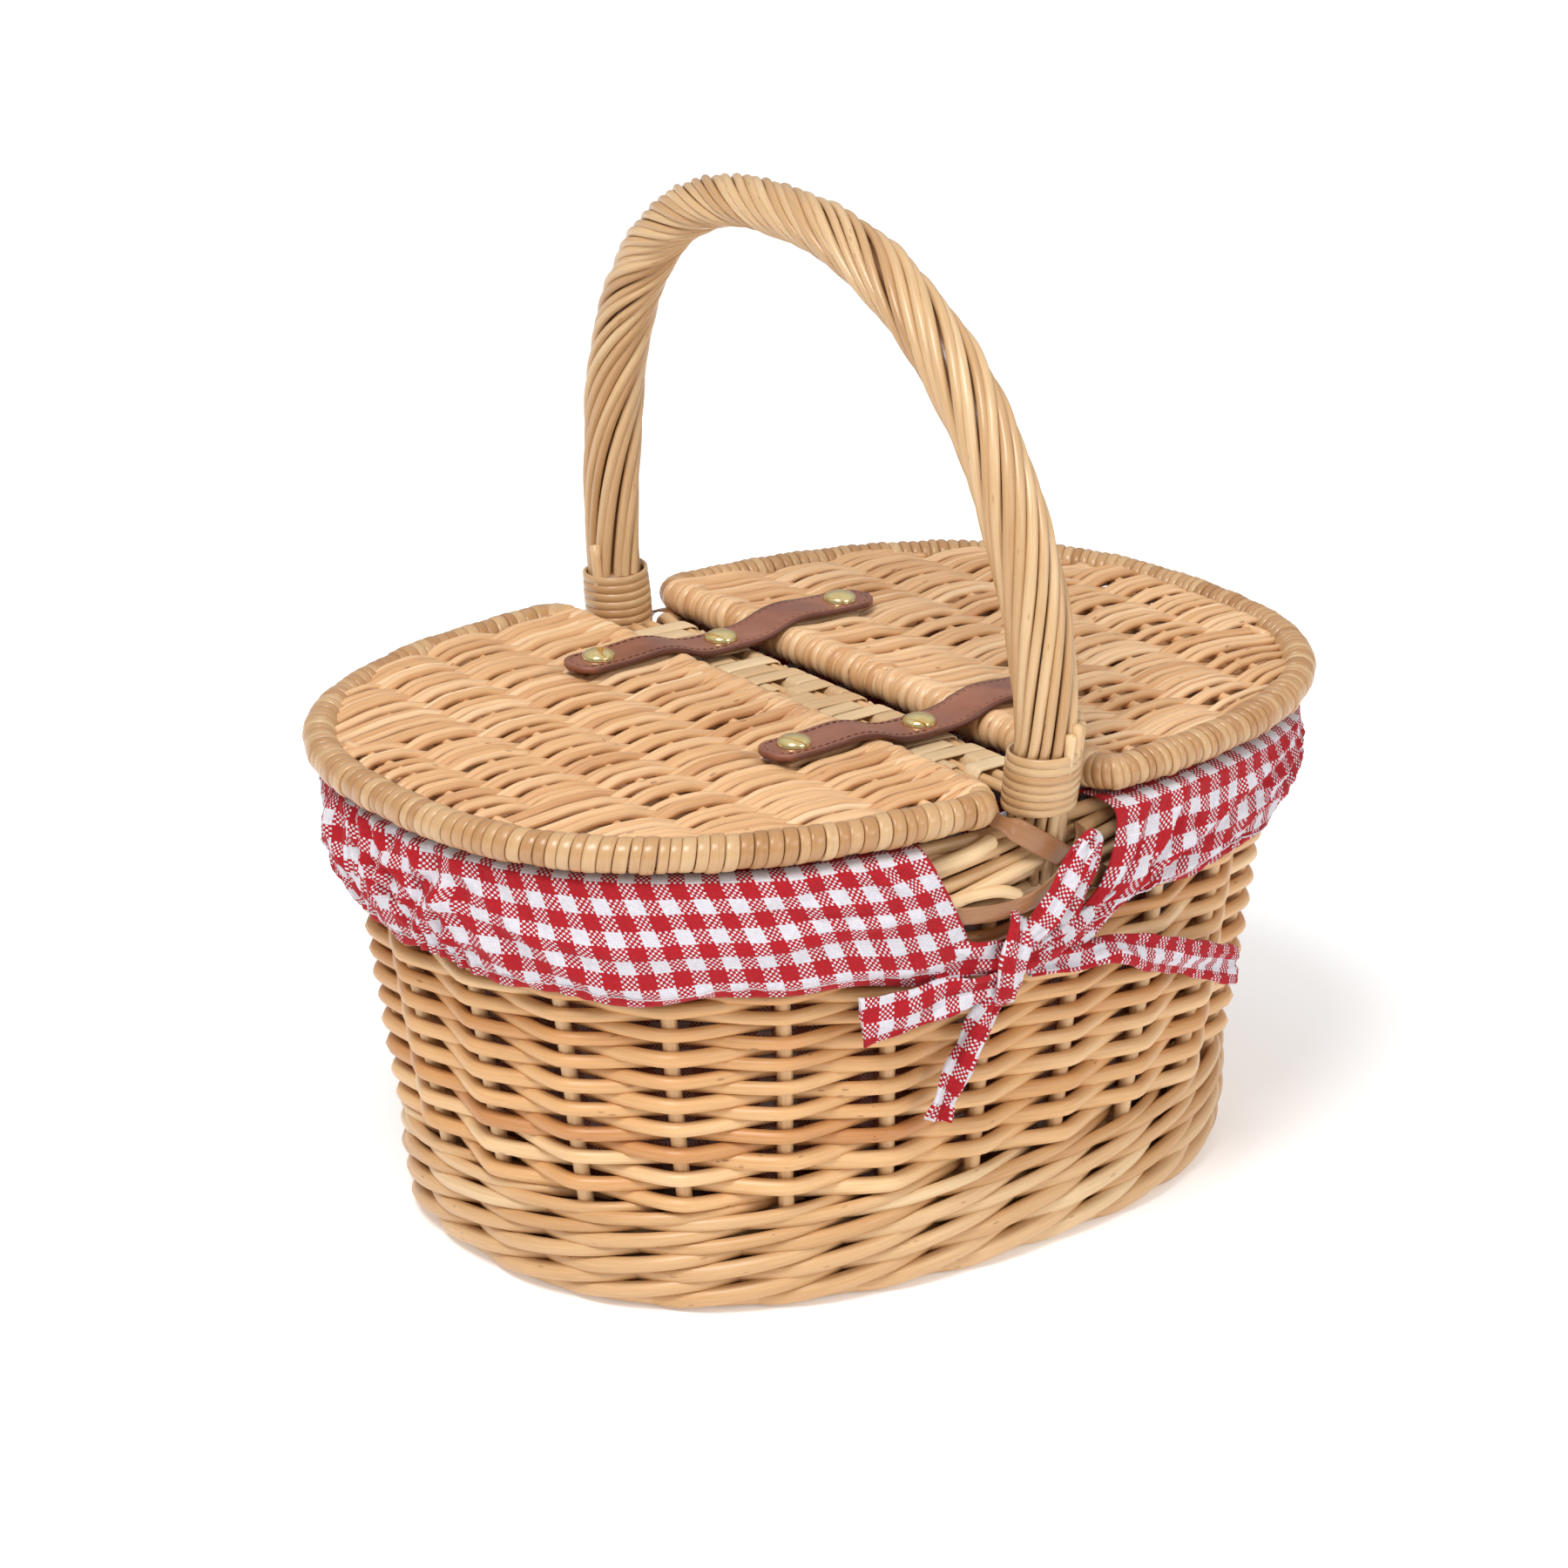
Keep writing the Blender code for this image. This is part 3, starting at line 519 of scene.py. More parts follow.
def make_leather(name):
    """Smooth strap leather, with a fine grain, rubbed patches and darker burnished edges."""
    m = Nodes(name)
    place = m.node("TexCoord").outputs["Object"]
    grain = m.attribute("grain", "Vector")
    across = m.math("ABSOLUTE", m.node("SeparateXYZ", Vector=grain).outputs["Y"])
    patches = m.noise(place, 55.0, 4.0, 0.6)
    colour = m.ramp(patches, tones((0.28, 122, 72, 54), (0.52, 142, 88, 66), (0.75, 160, 106, 82)))
    edge = m.node("MapRange", Value=across, From_Min=0.0072, From_Max=0.0083).outputs["Result"]
    colour = m.mix(edge, colour, srgb(92, 50, 38))
    pores = m.node("TexVoronoi", {"feature": "DISTANCE_TO_EDGE"}, Vector=place, Scale=1700.0)
    creases = m.noise(place, 900.0, 3.0)
    height = m.math("MULTIPLY_ADD", pores.outputs["Distance"], 0.6, creases)
    m.set(Base_Color=colour, Roughness=m.math("MULTIPLY_ADD", patches, 0.25, 0.32),
          Coat_Weight=0.12, Coat_Roughness=0.3, Normal=m.bump(height, 0.16, 0.0003))
    return m.material


def make_thread(name, colour):
    m = Nodes(name)
    grain = m.attribute("grain", "Vector")
    twist = m.node("TexWave", {"bands_direction": "DIAGONAL"},
                   Vector=m.stretch(grain, (900.0, 1800.0, 1800.0)), Scale=1.0)
    shade = m.mix(twist.outputs["Fac"], (*(c * 0.75 for c in colour[:3]), 1.0), colour)
    m.set(Base_Color=shade, Roughness=0.8, Normal=m.bump(twist.outputs["Fac"], 0.3, 0.0002))
    return m.material


def make_brass(name):
    """Polished brass with fine buffing marks and faint tarnish."""
    m = Nodes(name)
    place = m.node("TexCoord").outputs["Object"]
    tarnish = m.noise(place, 420.0, 3.0)
    buffing = m.noise(m.stretch(place, (3000.0, 400.0, 400.0)), 1.0, 2.0)
    colour = m.ramp(tarnish, tones((0.35, 250, 218, 142), (0.65, 255, 236, 176)))
    m.set(Base_Color=colour, Metallic=1.0, Normal=m.bump(buffing, 0.03, 0.0002),
          Roughness=m.math("MULTIPLY_ADD", tarnish, 0.10, 0.09))
    return m.material


def make_floor(name):
    """Nearly white studio paper. It glows more away from the basket, so that it stays white there."""
    m = Nodes(name)
    place = m.node("TexCoord").outputs["Object"]
    away = m.node("VectorMath", {"operation": "LENGTH"}, Vector=place).outputs["Value"]
    glow = m.node("MapRange", Value=away, From_Min=0.17, From_Max=0.40, To_Min=0.24,
                  To_Max=0.42).outputs["Result"]
    haze = m.noise(place, 3.0, 2.0)
    m.set(Base_Color=m.ramp(haze, [(0.0, (0.90, 0.90, 0.90)), (1.0, (0.93, 0.93, 0.93))]),
          Roughness=0.85, Specular_IOR_Level=0.1, Emission_Color=(1.0, 1.0, 1.0, 1.0),
          Emission_Strength=glow)
    return m.material


HONEY = tones((0.0, 187, 126, 74), (0.30, 208, 153, 97), (0.65, 221, 174, 120), (1.0, 238, 205, 158))
PEACH = tones((0.0, 192, 136, 89), (0.30, 214, 167, 118), (0.65, 227, 185, 139), (1.0, 243, 212, 172))
STRAW = tones((0.0, 190, 140, 88), (0.35, 208, 164, 114), (0.7, 218, 180, 134), (1.0, 232, 204, 160))
COIL = tones((0.0, 167, 120, 73), (0.35, 184, 139, 92), (0.7, 196, 156, 110), (1.0, 211, 179, 135))
ROPE = tones((0.0, 170, 125, 81), (0.35, 192, 152, 107), (0.7, 209, 174, 129), (1.0, 226, 200, 160))
SPLINT = tones((0.0, 196, 158, 114), (0.4, 210, 178, 136), (0.75, 222, 194, 154), (1.0, 232, 208, 170))
TAN = tones((0.0, 132, 88, 54), (0.5, 156, 108, 70), (1.0, 180, 134, 94))

wall_willow = make_willow("wall_willow", HONEY)
lid_willow = make_willow("lid_willow", PEACH, roughness=0.36, coat=0.30)
pale_willow = make_willow("pale_willow", STRAW, speck=0.35)
rim_skein = make_willow("rim_skein", COIL, roughness=0.32, coat=0.36, speck=0.25)
handle_willow = make_willow("handle_willow", ROPE, roughness=0.34, coat=0.34, speck=0.3)
splint_willow = make_willow("splint_willow", SPLINT, roughness=0.5, coat=0.08, speck=0.1)
tan_skein = make_willow("tan_skein", TAN, roughness=0.36, coat=0.30, speck=0.2)
gingham = make_gingham("gingham")
# A copy of the gingham with painted shade below the border, for the back of the bag.
shaded_gingham = make_gingham("shaded_gingham", 0.30)
leather = make_leather("leather")
leather_thread = make_thread("leather_thread", srgb(100, 56, 42))
cotton_thread = make_thread("cotton_thread", srgb(236, 222, 226))
brass = make_brass("brass")


def place(obj, body, slot, *nodes):
    """Puts a finished piece on its body, in the place of CAD nodes. The slot argument is not used."""
    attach(obj, body)
    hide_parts(*nodes)
    return obj


# ---- wall ---------------------------------------------------------------------------------
def stake_turn(number):
    """How far round the wall a stake stands. Parts of a number lie between two stakes."""
    return (number + 0.5) / STAKES


def build_stakes():
    """Twelve rods, each up the front, under the base and up the rear."""
    bundle = Bundle("stakes", 11)
    levels = np.linspace(BORDER_TOP - 0.006, BASE_LEVEL + 0.008, 24)
    for pair in range(STAKES // 2):
        wave = 0.0004 * wobble(levels / WALL_TOP, bundle.rng, (1, 2))
        rear, _ = wall_points(stake_turn(pair) + wave, levels, 0.0015 - STAKE_DEPTH)
        corner = rear[-1] * (1.0, 1.0, 0.0) + (0.0, -0.0060, BASE_LEVEL)
        rear = np.vstack([rear, corner])
        middle = np.linspace(rear[-1], rear[-1] * (1.0, -1.0, 1.0), 12)[1:-1]
        path = np.vstack([rear, middle, rear[::-1] * (1.0, -1.0, 1.0)])
        bundle.add(path, STAKE_RADIUS, across=X_AXIS, tint=0.55 + 0.4 * bundle.rng.random())
    piece = bundle.build(pale_willow)
    place(piece, "basket", "pale_willow", *(f"stake_pair_{k:02d}" for k in range(1, STAKES // 2 + 1)))


def build_side_weave():
    """Randing: each row goes in front of one stake and behind the next, three rods to a row."""
    bundle = Bundle("side_weave_rods", 12)
    rng = bundle.rng
    per_stake = 12
    stakes_per_rod = STAKES // 3
    level, side = FOOT_TOP + 0.0022, 1.0
    while level < WEAVE_TOP + 0.001:
        share = (level - WEAVE_BOTTOM) / (WEAVE_TOP - WEAVE_BOTTOM)
        radius = 0.00266 - 0.00046 * share
        first = int(rng.integers(0, STAKES // 2)) * 2 + (0 if side < 0 else 1)
        drift = rng.random(2)
        for rod in range(3):
            start = first + rod * stakes_per_rod - 0.30
            u = np.linspace(start, start + stakes_per_rod + 0.60, per_stake * stakes_per_rod + 6)
            turns = stake_turn(u)
            wave = np.arcsin(0.985 * np.cos(math.pi * u)) / math.asin(0.985)
            tail = 0.0016 * (1.0 - smooth_step(np.minimum(u - u[0], u[-1] - u), 0.0, 0.35))
            reach = np.where(side * wave > 0.0, STAKE_RADIUS + radius, radius + 0.0010)
            out = -STAKE_DEPTH + side * wave * reach - tail
            rise = 0.00030 * np.sin(TURN * (3 * turns + drift[0]))
            rise += 0.00022 * np.sin(TURN * (7 * turns + drift[1]))
            path, normal = wall_points(turns, level + rise, out)
            taper = np.linspace(1.10, 0.88, len(u)) * (0.96 + 0.08 * rng.random())
            tint = rng.beta(1.6, 1.6) + 0.05 * np.sin(turns * 40.0)
            bundle.add(path, radius * taper, across=normal, tint=tint)
        level += 2.0 * radius * 0.825
        side = -side
    place(bundle.build(wall_willow), "basket", "willow", "side_weave")


def waled_row(bundle, level, radius, strands, rise, out, tints, shift=0.0, dive=2.0):
    """One row of waling: each rod goes in front of all stakes but one in every few.

    A rod climbs by twice the rise, and its middle stands out past the stakes. A low dive gives
    short strokes that bulge.
    """
    rng = bundle.rng
    per_stake = 9
    inner = -STAKE_DEPTH - STAKE_RADIUS - radius
    outer = -STAKE_DEPTH + STAKE_RADIUS + radius + out
    for strand in range(strands):
        for rod in range(STAKES // strands):
            start = rod * strands + strand + shift - 0.22
            u = np.linspace(start, start + strands + 0.44, per_stake * strands + 5)
            c = np.clip((u - strand - shift) / strands - rod, -0.08, 1.08)
            bow = 1.0 - (1.0 - np.abs(np.sin(math.pi * np.clip(c, 0.0, 1.0)))) ** dive
            bow = np.where((c < 0.0) | (c > 1.0), 0.0, bow)
            height = level - rise * np.cos(math.pi * np.clip(c, 0.0, 1.0))
            height = np.maximum(height, 1.12 * radius)
            turns = stake_turn(u)
            path, normal = wall_points(turns, height, inner + (outer - inner) * bow)
            taper = np.linspace(1.10, 0.88, len(u)) * rng.uniform(0.90, 1.08)
            # Painted shade: each stroke is darker towards its ends, where it passes in behind its
            # neighbours.
            tint = tints[0] + (tints[1] - tints[0]) * rng.random() + 0.45 * (bow - 0.8)
            bundle.add(path, radius * taper, across=normal, tint=tint)


def inner_rings(bundle, rows, counts, tint, spread):
    """Closed rods inside the waling, which fill the gaps between its strokes."""
    turns = np.arange(STAKES * 7) / (STAKES * 7)
    for level, out, radius in rows:
        wave = 0.0003 * wobble(turns, bundle.rng, counts)
        ring, normal = wall_points(turns, level + wave, out)
        bundle.add(ring, radius, across=normal, closed=True, tint=tint + spread * bundle.rng.random())


# Rows of the foot: level, rod radius, rise of each rod, and how far it stands out.
FOOT_ROWS = ((0.0066, 0.0030, 0.0050, 0.0016), (0.0154, 0.0027, 0.0050, 0.0020),
             (0.0236, 0.0024, 0.0042, 0.0014), (0.0306, 0.0022, 0.0026, 0.0004))


def build_foot_wale():
    """Four rows of three-rod waling in thick rods, over rings that run in under the base."""
    bundle = Bundle("foot_wale_rods", 13)
    for number, (level, radius, rise, out) in enumerate(FOOT_ROWS):
        waled_row(bundle, level, radius, 3, rise, out, (-0.05, 0.95), shift=float(number), dive=1.3)
    rings = ((0.0034, -0.0075, 0.0028), (0.0034, -0.0015, 0.0028), (0.0120, -0.0090, 0.0026),
             (0.0230, -0.0090, 0.0026))
    inner_rings(bundle, rings, (3, 5), 0.4, 0.3)
    place(bundle.build(pale_willow), "basket", "pale_willow", "foot_wale")


# Rods cut off in the opening beside each knot, as (x, level, distance out).
CUT_ENDS = (((-0.046, 0.1385, -0.002), (-0.031, 0.1425, 0.0012), (-0.021, 0.1443, -0.001)),
            ((-0.052, 0.1235, -0.001), (-0.038, 0.1283, 0.0024), (-0.021, 0.1328, 0.0026),
             (-0.002, 0.1356, 0.0006)),
            ((-0.040, 0.1285, 0.0010), (-0.029, 0.1305, 0.0044), (-0.021, 0.1300, 0.0052),
             (-0.0136, 0.1266, 0.0044)))


def build_border():
    """The plaited border: long rods that climb slowly from the weave to the rim."""
    bundle = Bundle("border_rods", 14)
    middle = (BORDER_BOTTOM + BORDER_TOP) / 2.0
    waled_row(bundle, middle - 0.0010, 0.0022, 6, 0.0118, 0.0000, (0.2, 1.0))
    rings = ((0.0024, -0.0060), (0.0058, -0.0098), (0.0110, -0.0105), (0.0170, -0.0105),
             (0.0230, -0.0105))
    inner_rings(bundle, [(BORDER_TOP - down, out, 0.0024) for down, out in rings], (2, 5), 0.3, 0.5)
    for number, end in enumerate(CUT_ENDS):
        for label in ("front", "rear"):
            path, normal = on_wall(smooth_path(end, 24), label)
            bundle.add(path, 0.0026 - 0.0003 * number, across=normal, dome=0.1, tint=0.9)
    place(bundle.build(pale_willow), "basket", "pale_willow", "top_border")


def build_base():
    """The floor: thin rods woven over and under the stakes where they cross beneath."""
    bundle = Bundle("base_weave", 15)
    rng = bundle.rng
    half_x, half_y = wall_halves(BASE_LEVEL)
    half_x, half_y = float(half_x) - 0.0110, float(half_y) - 0.0110
    stakes_x, _ = wall_points(np.array([stake_turn(k) for k in range(STAKES // 2)]), BASE_LEVEL,
                              -STAKE_DEPTH)
    crossings = np.sort(stakes_x[:, 0])
    side = 1.0
    for y in np.arange(-half_y + 0.003, half_y - 0.002, 0.0040):
        reach = half_x * (1.0 - (abs(y) / half_y) ** WALL_POWER) ** (1.0 / WALL_POWER) - 0.001
        x = np.linspace(-reach, reach, 90)
        wave = side * np.cos(math.pi * np.interp(x, crossings, np.arange(len(crossings))))
        z = BASE_LEVEL + 0.0024 * wave
        path = np.column_stack([x, np.full_like(x, y) + 0.0002 * np.sin(x * 90.0 + y * 900.0), z])
        bundle.add(path, 0.0018 * (0.94 + 0.12 * rng.random()), across=Y_AXIS)
        side = -side
    place(bundle.build(wall_willow), "basket", "willow", "base_panel")


# ---- lids ---------------------------------------------------------------------------------
def lid_reach(y):
    """How far from the basket's middle the hoop's centre line is at this y."""
    half = LID_HALF - HOOP_RADIUS
    share = np.clip(np.abs(y) / half[1], 0.0, 1.0)
    return half[0] * (1.0 - share**LID_POWER) ** (1.0 / LID_POWER)


def outline_half(x, inset=HOOP_RADIUS):
    """Half the width of the lid's outline at this distance from the middle, drawn in by an inset."""
    half = LID_HALF - inset
    return half[1] * (1.0 - (x / half[0]) ** LID_POWER) ** (1.0 / LID_POWER)


def lid_outline():
    """The closed centre line of a right lid's rim: straight hinge bar, round corners, hoop."""
    corner = 0.0060
    half = LID_HALF - HOOP_RADIUS
    meet_x = BAR_OFFSET + corner
    meet_y = outline_half(meet_x)
    t = np.linspace(math.acos((meet_x / half[0]) ** (LID_POWER / 2.0)), 0.0, 240)
    hoop_x = half[0] * np.cos(t) ** (2.0 / LID_POWER)
    hoop_y = half[1] * np.sin(t) ** (2.0 / LID_POWER)
    turn = np.linspace(math.pi, math.pi / 2.0, 14)
    corner_x = meet_x + corner * np.cos(turn)
    corner_y = meet_y - corner + corner * np.sin(turn)
    rear = np.column_stack([np.concatenate([corner_x[:-1], hoop_x]),
                            np.concatenate([corner_y[:-1], hoop_y])])
    front = rear[::-1][1:] * (1.0, -1.0)
    loop = np.vstack([rear, front, rear[:1]])
    return np.column_stack([loop, np.full(len(loop), LID_LEVEL)])


def rim_turns(bundle, side, pitch, thick, roundness):
    """Skein wound round the hoop and both corners, but not round the hinge bar.

    Turns are spaced along the rim's outside, so they crowd together inside the corners.
    """
    rng = bundle.rng
    outline = lid_outline()
    inside = lengths_along(outline)
    ahead = unit(np.gradient(outline, axis=0))
    outward = np.column_stack([-ahead[:, 1], ahead[:, 0], np.zeros(len(ahead))])
    outside = lengths_along(outline + outward * HOOP_RADIUS)
    wound = outside[-2]
    turns = int(round(wound / pitch))
    per_turn = 20
    count = np.linspace(0.0, turns, turns * per_turn + 1)
    number = np.minimum(count.astype(int), turns - 1)
    stops = np.cumsum(np.concatenate([[0.0], rng.uniform(0.82, 1.18, turns)]))
    stops *= wound / stops[-1]
    distance = np.interp(np.interp(count, np.arange(turns + 1), stops), outside, inside)
    centre = resample(outline, distance)
    outward = unit(np.column_stack([np.interp(distance, inside, outward[:, k]) for k in range(3)]))
    tangent = np.column_stack([outward[:, 1], -outward[:, 0], np.zeros(len(outward))])
    swell = 0.00025 * np.interp(count, np.arange(turns + 1), rng.normal(size=turns + 1))
    radius = HOOP_RADIUS - thick + swell
    phase = TURN * count - 0.5 * math.pi
    path = centre + outward * (radius * np.cos(phase))[:, None]
    path[:, 2] += radius * np.sin(phase)
    path[:, 0] *= side
    tangent[:, 0] *= side
    tint = rng.uniform(0.0, 1.0, turns)[number]
    width = 0.5 * np.diff(stops)[number] * 0.95
    bundle.add(path, width, thick, across=tangent, section=round_section(12, roundness), tint=tint)


# Pitch of the turns, half the skein's thickness, and how square its section is.
RIM_WINDING = {"left": (0.0041, 0.00085, 3.4), "right": (0.0035, 0.00110, 2.5)}


def build_lid_rim(label, side):
    """Glossy skein wound round the hoop and its corners, and the rods inside hoop and bar."""
    bundle = Bundle(f"{label}_lid_rim", 21 if side < 0 else 22)
    outline = lid_outline()
    rim_turns(bundle, side, *RIM_WINDING[label])
    core = resample(outline, np.linspace(0.0, lengths_along(outline)[-1], 300)[:-1])
    core[:, 0] *= side
    bundle.add(core, HOOP_RADIUS - 0.0016, across=Z_AXIS, closed=True, tint=0.0, slot=1)
    piece = bundle.build(rim_skein, tan_skein)
    place(piece, f"{label}_lid", "pale_willow", f"{label}_lid_hoop", f"{label}_lid_hinge_bar")


def build_lid_ribs(label, side):
    """The stiff rods that run from front to rear inside the woven panel."""
    bundle = Bundle(f"{label}_lid_ribs", 23)
    for offset in RIB_OFFSETS:
        reach = outline_half(offset, 0.0115)
        y = np.linspace(-reach, reach, 40)
        bow = 0.0008 * np.sin(y * 30.0 + offset * 200.0)
        path = np.column_stack([side * (offset + bow), y, np.full_like(y, PANEL_LEVEL)])
        bundle.add(path, 0.0018, across=X_AXIS, tint=0.3 + 0.5 * bundle.rng.random())
    place(bundle.build(lid_willow), f"{label}_lid", "pale_willow",
          *(f"{label}_lid_rib_{k}" for k in range(1, len(RIB_OFFSETS) + 1)))


def hook_turns(bundle, side, pitch):
    """The thick ends of rods, side by side round the hinge bar, that run in among the weavers."""
    rng = bundle.rng
    turn = np.linspace(-0.75 * math.pi, 0.45 * math.pi, 16)
    taper = np.concatenate([np.ones(16), (0.94, 0.78, 0.50)])
    y = -WEAVE_HALF + 0.5 * pitch
    while y < WEAVE_HALF:
        width = pitch * rng.uniform(0.86, 1.12)
        radius = HOOP_RADIUS - 0.0006 + 0.0002 * rng.normal()
        slant = 0.0007 * rng.normal()
        hook = np.column_stack([BAR_OFFSET - radius * np.cos(turn), y + slant * turn,
                                LID_LEVEL + radius * np.sin(turn)])
        run = hook[-1] + np.array([(0.0040, slant, -0.0006), (0.0085, 1.5 * slant, -0.0022),
                                   (0.0120, 2.0 * slant, -0.0042)])
        path = np.vstack([hook, run]) * (side, 1.0, 1.0)
        bundle.add(path, 0.485 * width * taper, 0.0013 * taper, across=Y_AXIS,
                   tint=rng.beta(1.6, 1.6))
        y += width


LID_HOOKS = {"left": 0.0037, "right": 0.0044}          # pitch of the rods round the hinge bar

# Thinnest and thickest weaver, and the fewest and most that run side by side as one.
LID_WEAVERS = {"left": (0.00125, 0.00175, 1, 2), "right": (0.00110, 0.00150, 1, 3)}
WEAVER_HOOK = HOOP_RADIUS - 0.0012     # radius of a weaver's bend round the hinge bar
WEAVER_LEVEL = 0.0062                  # each weaver runs level this far to either side of a rib


def weaver_heights(x, radius, sign, lifts):
    """Heights over the panel's middle: from the bar, over and under the ribs, to the hoop."""
    ribs = np.array([offset for offset in RIB_OFFSETS if offset < x[-1] - 0.008])
    over = sign * (0.0009 + 0.8 * radius) * (-1.0) ** np.arange(1, len(ribs) + 1)
    over *= lifts[:len(ribs)]
    beside = np.column_stack([ribs - WEAVER_LEVEL, ribs + WEAVER_LEVEL]).ravel()
    rise = LID_LEVEL - PANEL_LEVEL
    heights = np.concatenate([[rise + WEAVER_HOOK], np.repeat(over, 2), [rise + 0.0006 * sign]])
    return smoothed(np.interp(x, np.concatenate([[BAR_OFFSET], beside, [x[-1]]]), heights), 3)


def build_lid_weave(label, side):
    """Weavers hooked over the hinge bar, then over and under the ribs, to the hoop.

    They run in groups, and those near the front and the rear curve in with the hoop.
    """
    bundle = Bundle(f"{label}_lid_weave", 24 if side < 0 else 25)
    rng = bundle.rng
    thinnest, thickest, fewest, most = LID_WEAVERS[label]
    turn = np.linspace(-math.pi / 2.0, math.pi / 2.0, 12)
    bar_half = outline_half(BAR_OFFSET)
    under = LID_LEVEL - WEAVER_HOOK
    y, sign = -WEAVE_HALF, 1.0
    while y < WEAVE_HALF:
        lifts = rng.uniform(0.92, 1.06, len(RIB_OFFSETS))
        for _ in range(int(rng.integers(fewest, most + 1))):
            radius = rng.uniform(thinnest, thickest)
            x = np.arange(BAR_OFFSET, LID_HALF[0] - HOOP_RADIUS, 0.0012)
            curve_in = 0.75 * (abs(y) / WEAVE_HALF) ** 3
            row = y * (1.0 - curve_in * (1.0 - outline_half(x) / bar_half))
            row += 0.0006 * np.sin(x * rng.uniform(25.0, 60.0) + rng.random() * TURN)
            kept = x < lid_reach(row) - 0.0010
            x, row = x[kept], row[kept]
            level = PANEL_LEVEL + weaver_heights(x, radius, sign, lifts)
            body = np.column_stack([x, row, level])
            hook = np.column_stack([BAR_OFFSET - WEAVER_HOOK * np.cos(turn), np.full(12, row[0]),
                                    LID_LEVEL + WEAVER_HOOK * np.sin(turn)])
            tuck = [(BAR_OFFSET + 0.009, row[0], under + 0.0006), (BAR_OFFSET + 0.004, row[0], under)]
            path = np.vstack([tuck, hook[:-1], body]) * (side, 1.0, 1.0)
            thick = radius * np.concatenate([np.full(len(path) - len(body), 1.10),
                                             np.linspace(1.10, 0.90, len(body))])
            bundle.add(path, thick * 1.15, thick, across=Y_AXIS, tint=rng.beta(1.6, 1.7))
            y += 2.0 * radius * (0.785 - 0.5 * y)
        sign = -sign
    hook_turns(bundle, side, LID_HOOKS[label])
    place(bundle.build(lid_willow), f"{label}_lid", "willow", f"{label}_lid_panel")


# ---- bridge -------------------------------------------------------------------------------
# Where a splint crosses the rods, and whether it goes over (1) or under (-1) each of them.
SPLINT_COLUMNS = (-0.0078, -0.0028, 0.0024, 0.0078)
SPLINT_PASSES = ((1, 1, 1, 1), (1, -1, 1, 1), (-1, 1, 1, 1), (1, 1, -1, 1), (1, 1, 1, 1),
                 (1, 1, 1, -1))
SPLINT_PITCH = 0.0074


def build_bridge():
    """Lengthwise rods with wide pale splints woven over and under them."""
    rods = Bundle("bridge_rods", 31)
    level = BRIDGE_TOP - 0.0052
    for side in (-1.0, 1.0):
        rear = [(side * 0.0138, 0.1022, 0.134), (side * 0.0138, 0.1022, 0.1470),
                (side * 0.0130, 0.0990, 0.1512), (side * 0.0098, 0.0910, level),
                (side * 0.0078, 0.0800, level), (side * 0.0078, 0.0400, level)]
        path = rear + [(x, -y, z) for x, y, z in reversed(rear)]
        rods.add(smooth_path(path, 90), 0.0022, across=X_AXIS, tint=0.6)
    place(rods.build(pale_willow), "basket", "pale_willow", "bridge_rod_left", "bridge_rod_right")

    bundle = Bundle("bridge_splints", 32)
    rng = bundle.rng
    for x in SPLINT_COLUMNS[1:3]:
        y = np.linspace(-BRIDGE_HALF_LENGTH - 0.010, BRIDGE_HALF_LENGTH + 0.010, 60)
        path = np.column_stack([x + 0.0004 * np.sin(y * 60.0 + x * 900.0), y, np.full_like(y, level)])
        bundle.add(path, 0.0019, across=X_AXIS, tint=0.35 + 0.4 * rng.random())
    section = round_section(10, 4.0)
    x = np.linspace(-BRIDGE_HALF_WIDTH + 0.0006, BRIDGE_HALF_WIDTH - 0.0006, 40)
    round_off = np.sqrt(np.clip(1.0 - (x / BRIDGE_HALF_WIDTH) ** 10, 0.0, 1.0))
    turn = np.linspace(0.0, math.pi, 12)[1:-1]
    bend = np.column_stack([x[-1] + 0.0014 * np.sin(turn), np.zeros_like(turn),
                            level + 0.0004 * np.cos(turn)])
    under = np.column_stack([x[::-1], np.zeros_like(x), np.full_like(x, level - 0.0030)])
    stops = np.arange(-BRIDGE_HALF_LENGTH + 0.004, BRIDGE_HALF_LENGTH, SPLINT_PITCH)
    for number, y in enumerate(stops):
        passes = SPLINT_PASSES[(number * 5 + 2) % len(SPLINT_PASSES)]
        top = np.where(np.interp(x, SPLINT_COLUMNS, passes) > 0, 0.0027, -0.0027)
        over = np.column_stack([x, np.zeros_like(x), level + smoothed(top, 3) * round_off])
        path = np.vstack([over, bend, under])
        slant = 0.0010 * (rng.random() - 0.5)
        path[:, 1] = y + slant * path[:, 0] / BRIDGE_HALF_WIDTH
        path[len(over):, 1] += np.linspace(0.0, SPLINT_PITCH * 0.3, len(path) - len(over))
        bundle.add(path, 0.0035 * (0.94 + 0.1 * rng.random()), 0.00045, across=Y_AXIS,
                   section=section, tint=rng.beta(2.0, 2.0), slot=1)
    place(bundle.build(pale_willow, splint_willow), "basket", "pale_willow", "bridge_weave")


# ---- handle -------------------------------------------------------------------------------
def leg_points(levels, side):
    """The leg's centre line: upright inside the wall, and leaning out above it."""
    y = wall_halves(np.minimum(levels, WALL_TOP))[1] - STAKE_DEPTH
    y = y + np.maximum(0.0, levels - WALL_TOP) * LEG_LEAN
    return np.column_stack([np.zeros_like(y), side * y, levels])


